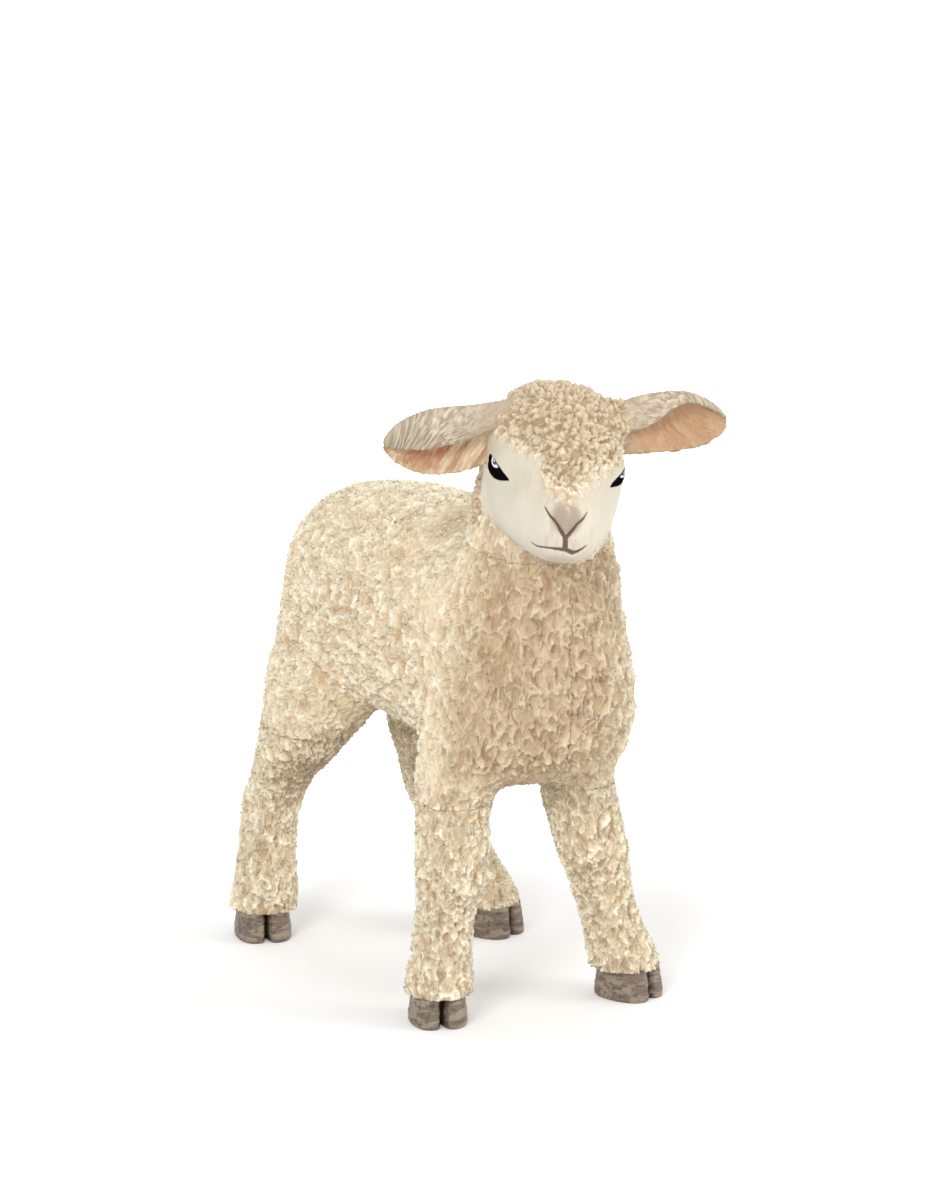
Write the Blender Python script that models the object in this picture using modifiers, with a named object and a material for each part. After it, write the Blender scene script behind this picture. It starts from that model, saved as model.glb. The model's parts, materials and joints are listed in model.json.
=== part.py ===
"""Toy lamb: a standing farm animal figure of moulded vinyl, painted by hand.

The lamb faces -Y, its left side is +X, and its hooves stand on z = 0.
Every moulding is its own object: two cored body halves that meet on the
middle plane, a head, ears, eyes, a tail, four legs and four hooves. They go
together with pegs in sockets, and a small gap is kept at every joint.
"""

import math

import bmesh
import bpy
from mathutils import Matrix, Vector
from mathutils.bvhtree import BVHTree

# Trunk
TRUNK_LENGTH = 0.0365
TRUNK_WIDTH = 0.0172
TRUNK_DEPTH = 0.0170
BELLY_HEIGHT = 0.0193

# Neck
NECK_WIDTH = 0.0100
NECK_DEPTH = 0.0092
NECK_RISE = 0.0150

# Head
HEAD_WIDTH = 0.0100
HEAD_LENGTH = 0.0150
HEAD_DEPTH = 0.0127
HEAD_HEIGHT = 0.0423
HEAD_REACH = 0.0165
HEAD_SIDESTEP = 0.00060
HEAD_TURN = math.radians(-20.0)
HEAD_ROLL = math.radians(6.0)

# Ears
EAR_LENGTH = 0.0090
EAR_WIDTH = 0.0048
EAR_THICKNESS = 0.0008
EAR_PEG_DIAMETER = 0.0014
EAR_PEG_LENGTH = 0.0020

# Eyes
EYE_LENGTH = 0.0023
EYE_WIDTH = 0.0015
EYE_BULGE = 0.00030
EYE_PLUG_DEPTH = 0.0008
EYE_GAP = 0.00020

# Legs
LEG_WIDTH = 0.0048
LEG_DEPTH = 0.0053
LEG_ROOT_HEIGHT = 0.0225
LEG_PARTING_HEIGHT = 0.0170
LEG_PEG_DIAMETER = 0.0028
LEG_PEG_LENGTH = 0.0028

# Hooves
HOOF_WIDTH = 0.0043
HOOF_LENGTH = 0.0048
HOOF_HEIGHT = 0.0023
HOOF_CLEFT = 0.00035
HOOF_PEG_DIAMETER = 0.0018
HOOF_PEG_LENGTH = 0.0016

# Tail
TAIL_LENGTH = 0.0105
TAIL_WIDTH = 0.0034
TAIL_PEG_DIAMETER = 0.0016
TAIL_PEG_LENGTH = 0.0022

# Joints between the mouldings
FIT_GAP = 0.0003
NECK_PEG_DIAMETER = 0.0044
NECK_PEG_LENGTH = 0.0045
PIN_DIAMETER = 0.0020
PIN_LENGTH = 0.0028
BODY_WALL = 0.0026

# Fineness of the faceted skin
BODY_VOXEL = 0.00092
HEAD_VOXEL = 0.00060
EAR_VOXEL = 0.00034
SKIN_SHARE = 0.42
EAR_SKIN_SHARE = 0.26
OVERRUN = 0.0005

# Rump to chest: place along the trunk, half width, underside, back
TRUNK_SHARES = (
    (0.000, 0.26, 0.32, 0.66),
    (0.045, 0.60, 0.12, 0.84),
    (0.120, 0.86, 0.05, 0.93),
    (0.260, 0.96, 0.02, 0.98),
    (0.440, 0.97, 0.00, 1.02),
    (0.620, 0.95, -0.03, 1.05),
    (0.780, 0.93, -0.07, 1.02),
    (0.890, 0.84, -0.06, 0.88),
    (0.965, 0.56, 0.02, 0.70),
    (1.000, 0.24, 0.20, 0.54),
)

# Middle of a lump, then its radii: across and upright in trunk widths and
# depths above the belly, lengthwise in trunk lengths ahead of the middle
LUMP_SHARES = (
    ((0.280, 0.31, 0.26), (0.195, 0.135, 0.38)),
    ((0.27, -0.30, 0.27), (0.21, 0.160, 0.46)),
    ((0.00, 0.33, 0.20), (0.27, 0.130, 0.30)),
)

# Shoulder to skull: rise, step ahead, half width, half depth
NECK_SHARES = (
    (0.00, -0.22, 1.48, 1.55),
    (0.25, -0.08, 1.36, 1.42),
    (0.48, 0.02, 1.22, 1.24),
    (0.70, 0.06, 1.02, 1.04),
    (1.00, 0.14, 0.90, 0.90),
    (1.20, 0.26, 0.62, 0.60),
)

# Nape to nose: place ahead, half width, underside, bridge
MUZZLE_SHARES = (
    (-0.20, 0.80, -0.34, 0.30),
    (-0.05, 1.00, -0.41, 0.34),
    (0.14, 0.97, -0.43, 0.33),
    (0.30, 0.84, -0.435, 0.23),
    (0.44, 0.65, -0.42, 0.10),
    (0.55, 0.50, -0.385, 0.02),
    (0.615, 0.37, -0.33, -0.035),
    (0.645, 0.18, -0.25, -0.09),
)

# Skull, wool cap and forelock: middle and radii, ahead, across and upright
HEAD_LUMP_SHARES = (
    ((-0.02, 0.00, 0.05), (0.37, 0.50, 0.44)),
    ((-0.03, 0.00, 0.22), (0.36, 0.47, 0.30)),
    ((0.26, 0.00, 0.12), (0.18, 0.30, 0.22)),
)

# Leg from root to cuff: way down, bend ahead, half width, half depth
FORELEG_SHARES = (
    (0.00, 0.00, 1.10, 1.35),
    (0.25, -0.01, 1.18, 1.22),
    (0.42, 0.01, 1.13, 1.12),
    (0.54, 0.03, 1.18, 1.10),
    (0.66, 0.01, 0.94, 0.92),
    (0.80, 0.00, 0.92, 0.90),
    (0.92, 0.00, 1.06, 1.02),
    (1.00, 0.00, 1.12, 1.06),
)
HINDLEG_SHARES = (
    (0.00, 0.02, 1.35, 2.05),
    (0.18, 0.04, 1.42, 1.92),
    (0.34, 0.02, 1.30, 1.60),
    (0.50, -0.05, 1.00, 1.02),
    (0.62, -0.08, 0.95, 1.00),
    (0.78, -0.04, 0.94, 0.94),
    (0.91, -0.01, 1.06, 1.04),
    (1.00, 0.00, 1.12, 1.06),
)

# Root and hoof of each leg, in trunk widths across and trunk lengths ahead
LEG_PLACE_SHARES = {
    "foreleg_right": ((-0.330, 0.315), (-0.407, 0.290)),
    "foreleg_left": ((0.220, 0.310), (0.500, 0.315)),
    "hindleg_right": ((-0.325, -0.330), (-0.517, -0.403)),
    "hindleg_left": ((0.230, -0.350), (0.410, -0.203)),
}

# How much a leg bends, its sway at the knee across and ahead in leg lengths
LEG_STANCE_SHARES = {
    "foreleg_right": (1.0, (0.000, 0.000)),
    "foreleg_left": (1.0, (-0.030, -0.045)),
    "hindleg_right": (1.4, (0.000, 0.000)),
    "hindleg_left": (1.3, (-0.020, -0.110)),
}
TOE_TURN = {
    "foreleg_right": math.radians(-17.0),
    "foreleg_left": math.radians(22.0),
    "hindleg_right": math.radians(-17.0),
    "hindleg_left": math.radians(22.0),
}
LEGS = tuple(LEG_PLACE_SHARES)

# Half outline of a cloven hoof, toe to heel, and its swell from sole to top
HOOF_OUTLINE_SHARES = (
    (0.00, 0.74),
    (0.20, 0.97),
    (0.46, 1.00),
    (0.74, 0.84),
    (0.94, 0.45),
    (1.00, -0.05),
    (0.93, -0.50),
    (0.70, -0.84),
    (0.36, -1.00),
    (0.00, -0.92),
)
HOOF_SWELL_SHARES = ((0.00, 0.96), (0.14, 1.00), (0.60, 0.95), (1.00, 0.86))

# Inner end of the cleft ahead of the middle and its height, then the height
# inside the hoof at which its peg starts
CLEFT_SHARES = (0.125, 0.72)
HOOF_PEG_SHARE = 0.60

# Centre line across an ear, ahead and up, from its lower rim to the fold, and
# how far the folded rim hangs in front
EAR_SECTION_SHARES = (
    (0.10, -0.48),
    (-0.05, -0.29),
    (-0.11, -0.04),
    (-0.09, 0.20),
    (0.00, 0.39),
    (0.10, 0.46),
)
EAR_FOLD_SHARES = {"ear_right": 0.60, "ear_left": 0.44}

# Edge of the folded rim: how far ahead of the fold and how much of the fold
# hangs there, then how thin the leaf is at both edges
EAR_RIM_SHARES = ((0.11, 0.30), (0.16, 1.00))
EAR_EDGE_SHARE = 0.55

# Ear peg: step back from the middle of the root, and its start along the ear
EAR_PEG_SHARES = (-0.09, 0.16)

# Root to tip of an ear: way along, width, thickness, droop
EAR_SHARES = (
    (0.00, 0.66, 2.10, 0.00),
    (0.12, 0.74, 2.10, 0.00),
    (0.24, 0.86, 1.70, 0.00),
    (0.38, 0.96, 1.25, 0.00),
    (0.52, 1.00, 1.00, 0.00),
    (0.65, 0.97, 0.95, 0.00),
    (0.77, 0.85, 0.85, -0.01),
    (0.88, 0.63, 0.75, -0.02),
    (0.96, 0.36, 0.65, -0.03),
    (1.00, 0.14, 0.55, -0.03),
)

# Ear root on the head and ear direction: ahead, across and upright
EAR_PLACES = {
    "ear_right": ((-0.02, -0.36, 0.20), (0.00, -1.00, -0.14)),
    "ear_left": ((-0.02, 0.34, 0.26), (-0.06, 1.00, 0.14)),
}

# Aim of each eye from the middle of the head: ahead, across and upright
EYE_AIM_SHARES = (0.48, 0.86, 0.12)
EYE_SLANT = math.radians(38.0)
EYE_SIDES = {"eye_right": -1.0, "eye_left": 1.0}

# Dome of an eye: rise in shares of the bulge, and size of the outline there
EYE_PLUG_SHARE = 0.92
EYE_DOME_SHARES = ((0.00, 1.00), (0.62, 0.78), (1.00, 0.40))

# Root to tip of the tail: way down, step back, width
TAIL_SHARES = (
    (0.00, -0.10, 0.80),
    (0.12, 0.02, 1.00),
    (0.30, 0.07, 1.05),
    (0.50, 0.08, 1.02),
    (0.70, 0.07, 0.98),
    (0.86, 0.05, 0.84),
    (0.96, 0.03, 0.55),
    (1.00, 0.02, 0.22),
)
TAIL_ROOT_SHARES = (-0.475, 0.66)
TAIL_PEG_SHARES = (0.50, 0.14)

# Where the neck parts, and the fall of that plane towards the throat
NECK_PARTING_HEIGHT = 0.0362
NECK_PARTING_TILT = math.radians(7.0)

# Step back from the head's middle to the neck's foot and to the middle of
# the parting plane, in neck depths
NECK_FOOT_SHARE = 0.45
NECK_PARTING_SHARE = 0.25

# Locating pins on the middle plane: ahead and above the belly
PIN_PLACE_SHARES = ((0.33, 0.30), (-0.37, 0.62))

# Hollow core of the body: ahead, above the belly, half length
CORE_PLACE_SHARES = (0.00, 0.53, 0.24)

# How square the rings are: 2 is an ellipse
TRUNK_FULLNESS = 2.25
HEAD_FULLNESS = 2.3
ALMOND_POWER = 0.75

# Points round a ring, and passes that smooth each melted skin
RING_POINTS = 20
ROUND_POINTS = 16
BODY_SMOOTHING = 6
HEAD_SMOOTHING = 5
EAR_SMOOTHING = 3
SHARP_ANGLE = math.radians(40.0)

# Paint of each kind of moulding: colour, roughness, clear coat
FINISHES = {
    "fleece_paint": ((0.80, 0.70, 0.55), 0.75, 0.0),
    "face_paint": ((0.83, 0.77, 0.67), 0.60, 0.0),
    "ear_paint": ((0.82, 0.62, 0.50), 0.62, 0.0),
    "hoof_paint": ((0.26, 0.23, 0.20), 0.50, 0.0),
    "eye_gloss": ((0.01, 0.01, 0.01), 0.12, 0.8),
}


def clear_scene():
    """Remove everything the file opened with."""
    for old in list(bpy.data.objects):
        bpy.data.objects.remove(old, do_unlink=True)


def make_collection(name):
    """Add a collection to the scene."""
    collection = bpy.data.collections.new(name)
    bpy.context.scene.collection.children.link(collection)
    return collection


def make_material(name):
    """Make a painted vinyl finish."""
    colour, roughness, coat = FINISHES[name]
    material = bpy.data.materials.new(name)
    material.use_nodes = True
    shader = material.node_tree.nodes["Principled BSDF"]
    shader.inputs["Base Color"].default_value = (*colour, 1.0)
    shader.inputs["Roughness"].default_value = roughness
    shader.inputs["Metallic"].default_value = 0.0
    shader.inputs["Coat Weight"].default_value = coat
    material.diffuse_color = (*colour, 1.0)
    return material


def object_from(name, form, collection):
    """Turn a bmesh into an object in a collection."""
    bmesh.ops.recalc_face_normals(form, faces=form.faces)
    mesh = bpy.data.meshes.new(name)
    form.to_mesh(mesh)
    form.free()
    made = bpy.data.objects.new(name, mesh)
    collection.objects.link(made)
    return made


def guide_from(name, form, guides):
    """Turn a bmesh into a cutter that no render shows."""
    guide = object_from(name, form, guides)
    guide.hide_render = True
    guide.display_type = "WIRE"
    return guide


def loft(form, rings):
    """Skin closed rings of points, and close both ends."""
    rows = [[form.verts.new(point) for point in ring] for ring in rings]
    count = len(rows[0])
    for row, following in zip(rows, rows[1:]):
        for i in range(count):
            j = (i + 1) % count
            form.faces.new((row[i], row[j], following[j], following[i]))
    form.faces.new(reversed(rows[0]))
    form.faces.new(rows[-1])


def ellipse_ring(centre, across, along, points=RING_POINTS, fullness=2.0):
    """Points of an oval ring spanned by two half axes."""
    power = 2.0 / fullness
    ring = []
    for i in range(points):
        angle = 2.0 * math.pi * i / points
        c, s = math.cos(angle), math.sin(angle)
        x = math.copysign(abs(c) ** power, c)
        y = math.copysign(abs(s) ** power, s)
        ring.append(centre + across * x + along * y)
    return ring


def ellipsoid(form, place, radii):
    """Add an ellipsoid to a form, set by a placing matrix."""
    size = Matrix.Diagonal((*radii, 1.0))
    bmesh.ops.create_uvsphere(
        form, u_segments=RING_POINTS, v_segments=ROUND_POINTS, radius=1.0, matrix=place @ size
    )


def peg(form, foot, direction, diameter, length):
    """Add a round peg that starts at a foot point."""
    turn = direction.to_track_quat("Z", "Y").to_matrix().to_4x4()
    place = Matrix.Translation(foot + direction * (length / 2)) @ turn
    bmesh.ops.create_cone(
        form,
        cap_ends=True,
        segments=ROUND_POINTS,
        radius1=diameter / 2,
        radius2=diameter / 2,
        depth=length,
        matrix=place,
    )


def block(form, low, high, place=None):
    """Add a box between two corners, carried along by a placing matrix if one is given."""
    shape = Matrix.Translation((low + high) / 2) @ Matrix.Diagonal((*(high - low), 1.0))
    if place is not None:
        shape = place @ shape
    bmesh.ops.create_cube(form, size=1.0, matrix=shape)


def add_boolean(target, other, operation, solver="EXACT"):
    """Cut or join one object with another."""
    step = target.modifiers.new(f"{operation.lower()} {other.name}", "BOOLEAN")
    step.operation = operation
    step.solver = solver
    step.object = other


def cut_skin(target, other, operation):
    """Cut or join a melted skin, on which the exact solver can turn a face round."""
    add_boolean(target, other, operation, solver="MANIFOLD")


def skin_of(guide, voxel, smoothing, share):
    """Melt a guide's lumps together into one smooth skin and return it as a mesh."""
    melt = guide.modifiers.new("melt", "REMESH")
    melt.mode = "VOXEL"
    melt.voxel_size = voxel
    ease = guide.modifiers.new("ease", "SMOOTH")
    ease.factor = 0.5
    ease.iterations = smoothing
    thin = guide.modifiers.new("thin", "DECIMATE")
    thin.ratio = share
    bpy.context.view_layer.update()
    graph = bpy.context.evaluated_depsgraph_get()
    return bpy.data.meshes.new_from_object(guide.evaluated_get(graph))


def swollen(mesh, amount):
    """Return a bmesh of a skin moved outwards by an amount."""
    form = bmesh.new()
    form.from_mesh(mesh)
    form.normal_update()
    moves = [vert.normal * amount for vert in form.verts]
    for vert, move in zip(form.verts, moves):
        vert.co += move
    return form


def along(share):
    """Lengthwise place of a share of the trunk ahead of its middle."""
    return -share * TRUNK_LENGTH


def above_belly(share):
    """Height of a share of the trunk's depth above the belly."""
    return BELLY_HEIGHT + share * TRUNK_DEPTH


def trunk_form(form):
    """Loft the barrel of the body, then lay shoulders, haunches and brisket on it."""
    rings = []
    for place, width, low, high in TRUNK_SHARES:
        bottom, top = above_belly(low), above_belly(high)
        centre = Vector((0.0, along(place - 0.5), (bottom + top) / 2))
        across = Vector((width * TRUNK_WIDTH / 2, 0.0, 0.0))
        upright = Vector((0.0, 0.0, (top - bottom) / 2))
        rings.append(ellipse_ring(centre, across, upright, fullness=TRUNK_FULLNESS))
    loft(form, rings)
    for (x, y, z), (wide, long, deep) in LUMP_SHARES:
        radii = (wide * TRUNK_WIDTH, long * TRUNK_LENGTH, deep * TRUNK_DEPTH)
        for side in (-1.0, 1.0) if x else (1.0,):
            middle = Vector((side * x * TRUNK_WIDTH, along(y), above_belly(z)))
            ellipsoid(form, Matrix.Translation(middle), radii)


def neck_form(form):
    """Loft the neck from the shoulders up into the skull."""
    foot = Vector((0.0, -HEAD_REACH + NECK_DEPTH * NECK_FOOT_SHARE, HEAD_HEIGHT - NECK_RISE))
    rings = []
    for rise, ahead, width, depth in NECK_SHARES:
        centre = foot + Vector((0.0, -ahead * NECK_DEPTH, rise * NECK_RISE))
        across = Vector((width * NECK_WIDTH / 2, 0.0, 0.0))
        lengthwise = Vector((0.0, depth * NECK_DEPTH / 2, 0.0))
        rings.append(ellipse_ring(centre, across, lengthwise))
    loft(form, rings)


def leg_ends(name):
    """Root of a leg inside the body and its foot on the floor."""
    root, foot = LEG_PLACE_SHARES[name]
    top = Vector((root[0] * TRUNK_WIDTH, along(root[1]), LEG_ROOT_HEIGHT))
    bottom = Vector((foot[0] * TRUNK_WIDTH, along(foot[1]), 0.0))
    return top, bottom


def leg_point(name, down, bend):
    """Point on the middle line of a leg."""
    top, bottom = leg_ends(name)
    cuff = bottom + Vector((0.0, 0.0, HOOF_HEIGHT))
    length = LEG_ROOT_HEIGHT - HOOF_HEIGHT
    strength, (across, ahead) = LEG_STANCE_SHARES[name]
    sway = math.sin(math.pi * down)
    ahead = ahead * sway + bend * strength
    return top.lerp(cuff, down) + Vector((across * sway * length, -ahead * length, 0.0))


def leg_form(form, name):
    """Loft one leg from its root down to the cuff over the hoof."""
    shares = FORELEG_SHARES if name.startswith("fore") else HINDLEG_SHARES
    rings = []
    for down, bend, width, depth in shares:
        turn = Matrix.Rotation(TOE_TURN[name] * down, 3, "Z")
        across = turn @ Vector((width * LEG_WIDTH / 2, 0.0, 0.0))
        lengthwise = turn @ Vector((0.0, depth * LEG_DEPTH / 2, 0.0))
        rings.append(ellipse_ring(leg_point(name, down, bend), across, lengthwise))
    below = Vector((0.0, 0.0, -OVERRUN - BODY_VOXEL))
    rings.append([point + below for point in rings[-1]])
    loft(form, rings)


def head_frame():
    """Placing matrix of the head, from its middle, with its turn and tilt."""
    middle = Vector((-HEAD_SIDESTEP, -HEAD_REACH, HEAD_HEIGHT))
    turn = Matrix.Rotation(HEAD_TURN, 4, "Z")
    roll = Matrix.Rotation(HEAD_ROLL, 4, "Y")
    return Matrix.Translation(middle) @ turn @ roll


def in_head(ahead, across, upright):
    """Point of the head given in shares of its length, width and depth."""
    return Vector((across * HEAD_WIDTH, -ahead * HEAD_LENGTH, upright * HEAD_DEPTH))


def head_form(form):
    """Loft the face and lay the skull, wool cap and forelock on it."""
    place = head_frame()
    rings = []
    for ahead, width, low, high in MUZZLE_SHARES:
        centre = in_head(ahead, 0.0, (low + high) / 2)
        across = Vector((width * HEAD_WIDTH / 2, 0.0, 0.0))
        upright = Vector((0.0, 0.0, (high - low) * HEAD_DEPTH / 2))
        ring = ellipse_ring(centre, across, upright, fullness=HEAD_FULLNESS)
        rings.append([place @ point for point in ring])
    loft(form, rings)
    for (ahead, across, upright), (long, wide, deep) in HEAD_LUMP_SHARES:
        radii = (wide * HEAD_WIDTH, long * HEAD_LENGTH, deep * HEAD_DEPTH)
        middle = Matrix.Translation(in_head(ahead, across, upright))
        ellipsoid(form, place @ middle, radii)


def neck_plane():
    """Placing matrix of the plane where head and neck part."""
    centre = Vector((0.0, -HEAD_REACH + NECK_DEPTH * NECK_PARTING_SHARE, NECK_PARTING_HEIGHT))
    return Matrix.Translation(centre) @ Matrix.Rotation(NECK_PARTING_TILT, 4, "X")


def reach():
    """A length past every part of the figure, for cutting blocks."""
    return 2.0 * (TRUNK_LENGTH + HEAD_LENGTH)


def hoof_form(name):
    """Loft one cloven hoof, with its toes at -Y, turned and set on the floor."""
    half = [(x * HOOF_WIDTH / 2, -y * HOOF_LENGTH / 2) for x, y in HOOF_OUTLINE_SHARES]
    outline = half + [(-x, y) for x, y in reversed(half[1:-1])]
    height = HOOF_HEIGHT - FIT_GAP
    form = bmesh.new()
    rings = []
    for rise, swell in HOOF_SWELL_SHARES:
        level = rise * height
        rings.append([Vector((x * swell, y * swell, level)) for x, y in outline])
    loft(form, rings)
    turn = Matrix.Rotation(TOE_TURN[name], 4, "Z")
    _, foot = leg_ends(name)
    bmesh.ops.transform(form, matrix=Matrix.Translation(foot) @ turn, verts=form.verts)
    return form


def cleft_form(name):
    """Slot between the two claws of a hoof, open at the toe and the sole."""
    form = bmesh.new()
    low = Vector((-HOOF_CLEFT / 2, -HOOF_LENGTH / 2 - OVERRUN, -OVERRUN))
    inner, height = CLEFT_SHARES
    high = Vector((HOOF_CLEFT / 2, -HOOF_LENGTH * inner, HOOF_HEIGHT * height))
    turn = Matrix.Rotation(TOE_TURN[name], 4, "Z")
    _, foot = leg_ends(name)
    block(form, low, high, Matrix.Translation(foot) @ turn)
    return form


def ear_section(width, thickness, fold):
    """Ring round an ear's cross section, in (ahead, up), folded over at the top."""
    front, top = EAR_SECTION_SHARES[-1]
    rim = tuple((front + ahead, top - hang * fold) for ahead, hang in EAR_RIM_SHARES)
    line = [Vector((a * width, b * width)) for a, b in EAR_SECTION_SHARES + rim]
    sides = []
    for i, point in enumerate(line):
        before, after = line[max(i - 1, 0)], line[min(i + 1, len(line) - 1)]
        run = (after - before).normalized()
        taper = EAR_EDGE_SHARE if i in (0, len(line) - 1) else 1.0
        sides.append((point, Vector((-run.y, run.x)) * (taper * thickness / 2)))
    outer = [point + side for point, side in sides]
    inner = [point - side for point, side in reversed(sides)]
    return outer + inner


def ear_axes(name):
    """Root point and the directions ahead, outward and up of one ear, in the world."""
    root, outward = EAR_PLACES[name]
    place = head_frame()
    basis = place.to_3x3()
    out = (basis @ Vector((outward[1], -outward[0], outward[2]))).normalized()
    front = basis @ Vector((0.0, -1.0, 0.0))
    up = out.cross(front) if out.cross(front).z > 0 else front.cross(out)
    up.normalize()
    ahead = up.cross(out) if up.cross(out).dot(front) > 0 else out.cross(up)
    return place @ in_head(*root), ahead.normalized(), out, up


def ear_form(name):
    """Loft one ear as a thin folded leaf."""
    root, ahead, out, up = ear_axes(name)
    form = bmesh.new()
    rings = []
    for way, width, thickness, droop in EAR_SHARES:
        centre = root + out * (way * EAR_LENGTH) + up * (droop * EAR_LENGTH)
        fold = EAR_FOLD_SHARES[name]
        section = ear_section(width * EAR_WIDTH, thickness * EAR_THICKNESS, fold)
        rings.append([centre + ahead * point.x + up * point.y for point in section])
    loft(form, rings)
    return form


def almond_form(place, length, width, bulge, depth):
    """Low dome on an almond outline, with a plug behind it."""
    form = bmesh.new()
    outline = []
    for i in range(ROUND_POINTS):
        angle = 2.0 * math.pi * i / ROUND_POINTS
        x = math.cos(angle)
        y = math.copysign((1.0 - x * x) ** ALMOND_POWER, math.sin(angle)) if abs(x) < 1.0 else 0.0
        outline.append((x * length / 2, y * width / 2))
    dome = tuple((bulge * rise, size) for rise, size in EYE_DOME_SHARES)
    levels = ((-depth, EYE_PLUG_SHARE), *dome)
    rings = [[place @ Vector((x * s, y * s, z)) for x, y in outline] for z, s in levels]
    loft(form, rings)
    return form


def eye_place(tree, side):
    """Placing matrix of an eye on the face, its length along the slant of the lids."""
    place = head_frame()
    ahead, across, upright = EYE_AIM_SHARES
    aim = (place.to_3x3() @ Vector((side * across, -ahead, upright))).normalized()
    spot, normal, _, _ = tree.ray_cast(place.translation + aim * reach(), -aim)
    down_ahead = Vector((0.0, -math.cos(EYE_SLANT), -math.sin(EYE_SLANT)))
    lengthwise = place.to_3x3() @ down_ahead
    lengthwise = (lengthwise - normal * lengthwise.dot(normal)).normalized()
    crosswise = normal.cross(lengthwise)
    basis = Matrix((lengthwise, crosswise, normal)).transposed().to_4x4()
    return Matrix.Translation(spot) @ basis


def tail_root():
    """Point inside the rump where the tail starts."""
    back, up = TAIL_ROOT_SHARES
    return Vector((0.0, along(back), above_belly(up)))


def tail_form():
    """Loft the hanging tail against the rump."""
    form = bmesh.new()
    rings = []
    for down, back, width in TAIL_SHARES:
        centre = tail_root() + Vector((0.0, back * TAIL_LENGTH, -down * TAIL_LENGTH))
        across = Vector((width * TAIL_WIDTH / 2, 0.0, 0.0))
        lengthwise = Vector((0.0, width * TAIL_WIDTH / 2, 0.0))
        rings.append(ellipse_ring(centre, across, lengthwise, points=ROUND_POINTS))
    loft(form, rings)
    return form


def part_from(name, mesh, material, parts):
    """Make a moulding that starts as a copy of a skin."""
    made = bpy.data.objects.new(name, mesh.copy())
    parts.objects.link(made)
    dress(made, material)
    return made


def dress(made, material):
    """Give a moulding its finish and shade it smooth."""
    made.data.materials.clear()
    made.data.materials.append(material)
    made.data.shade_smooth()
    made.data.set_sharp_from_angle(angle=SHARP_ANGLE)


def region(name, guides, low, high):
    """Block that bounds one moulding."""
    form = bmesh.new()
    block(form, Vector(low), Vector(high))
    return guide_from(name, form, guides)


def build_torso(skin, above_neck, parts, guides, finish):
    """Make the two cored body halves with their pins and sockets."""
    far = reach()
    core_ahead, core_up, core_half = CORE_PLACE_SHARES
    form = bmesh.new()
    middle = Vector((0.0, along(core_ahead), above_belly(core_up)))
    radii = (
        TRUNK_WIDTH / 2 - BODY_WALL,
        core_half * TRUNK_LENGTH,
        TRUNK_DEPTH / 2 - BODY_WALL,
    )
    ellipsoid(form, Matrix.Translation(middle), radii)
    core = guide_from("body_core", form, guides)

    form = bmesh.new()
    sockets = bmesh.new()
    for ahead, up in PIN_PLACE_SHARES:
        foot = Vector((FIT_GAP, along(ahead), above_belly(up)))
        inward = Vector((-1.0, 0.0, 0.0))
        peg(form, foot, inward, PIN_DIAMETER, PIN_LENGTH)
        peg(sockets, foot, inward, PIN_DIAMETER + 2 * FIT_GAP, PIN_LENGTH + FIT_GAP)
    pins = guide_from("body_pins", form, guides)
    pin_sockets = guide_from("body_pin_sockets", sockets, guides)

    plane = neck_plane()
    down = -(plane.to_3x3() @ Vector((0.0, 0.0, 1.0)))
    form = bmesh.new()
    start = plane.translation - down * OVERRUN
    depth = NECK_PEG_LENGTH + OVERRUN + FIT_GAP
    peg(form, start, down, NECK_PEG_DIAMETER + 2 * FIT_GAP, depth)
    neck_socket = guide_from("neck_socket", form, guides)

    form = bmesh.new()
    for name in LEGS:
        start = leg_peg_foot(name) - Vector((0.0, 0.0, OVERRUN))
        depth = OVERRUN + LEG_PEG_LENGTH + FIT_GAP
        peg(form, start, Vector((0.0, 0.0, 1.0)), LEG_PEG_DIAMETER + 2 * FIT_GAP, depth)
    leg_sockets = guide_from("leg_sockets", form, guides)

    form = bmesh.new()
    foot, inward = tail_peg_line()
    peg(form, foot, inward, TAIL_PEG_DIAMETER + 2 * FIT_GAP, TAIL_PEG_LENGTH + FIT_GAP)
    tail_socket = guide_from("tail_socket", form, guides)

    floor = LEG_PARTING_HEIGHT + FIT_GAP / 2
    halves = {
        "torso_left": ((FIT_GAP / 2, -far, floor), (far, far, far)),
        "torso_right": ((-far, -far, floor), (-FIT_GAP / 2, far, far)),
    }
    made = {}
    for name, (low, high) in halves.items():
        half = part_from(name, skin, finish, parts)
        cut_skin(half, region(f"{name}_region", guides, low, high), "INTERSECT")
        for cutter in (above_neck, core, neck_socket, leg_sockets, tail_socket):
            cut_skin(half, cutter, "DIFFERENCE")
        made[name] = half
    cut_skin(made["torso_left"], pins, "UNION")
    cut_skin(made["torso_right"], pin_sockets, "DIFFERENCE")


def leg_peg_foot(name):
    """Point on the parting plane of the legs where a leg's peg stands."""
    length = LEG_ROOT_HEIGHT - HOOF_HEIGHT
    down = (LEG_ROOT_HEIGHT - LEG_PARTING_HEIGHT) / length
    point = leg_point(name, down, 0.0)
    return Vector((point.x, point.y, LEG_PARTING_HEIGHT - FIT_GAP / 2))


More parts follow.
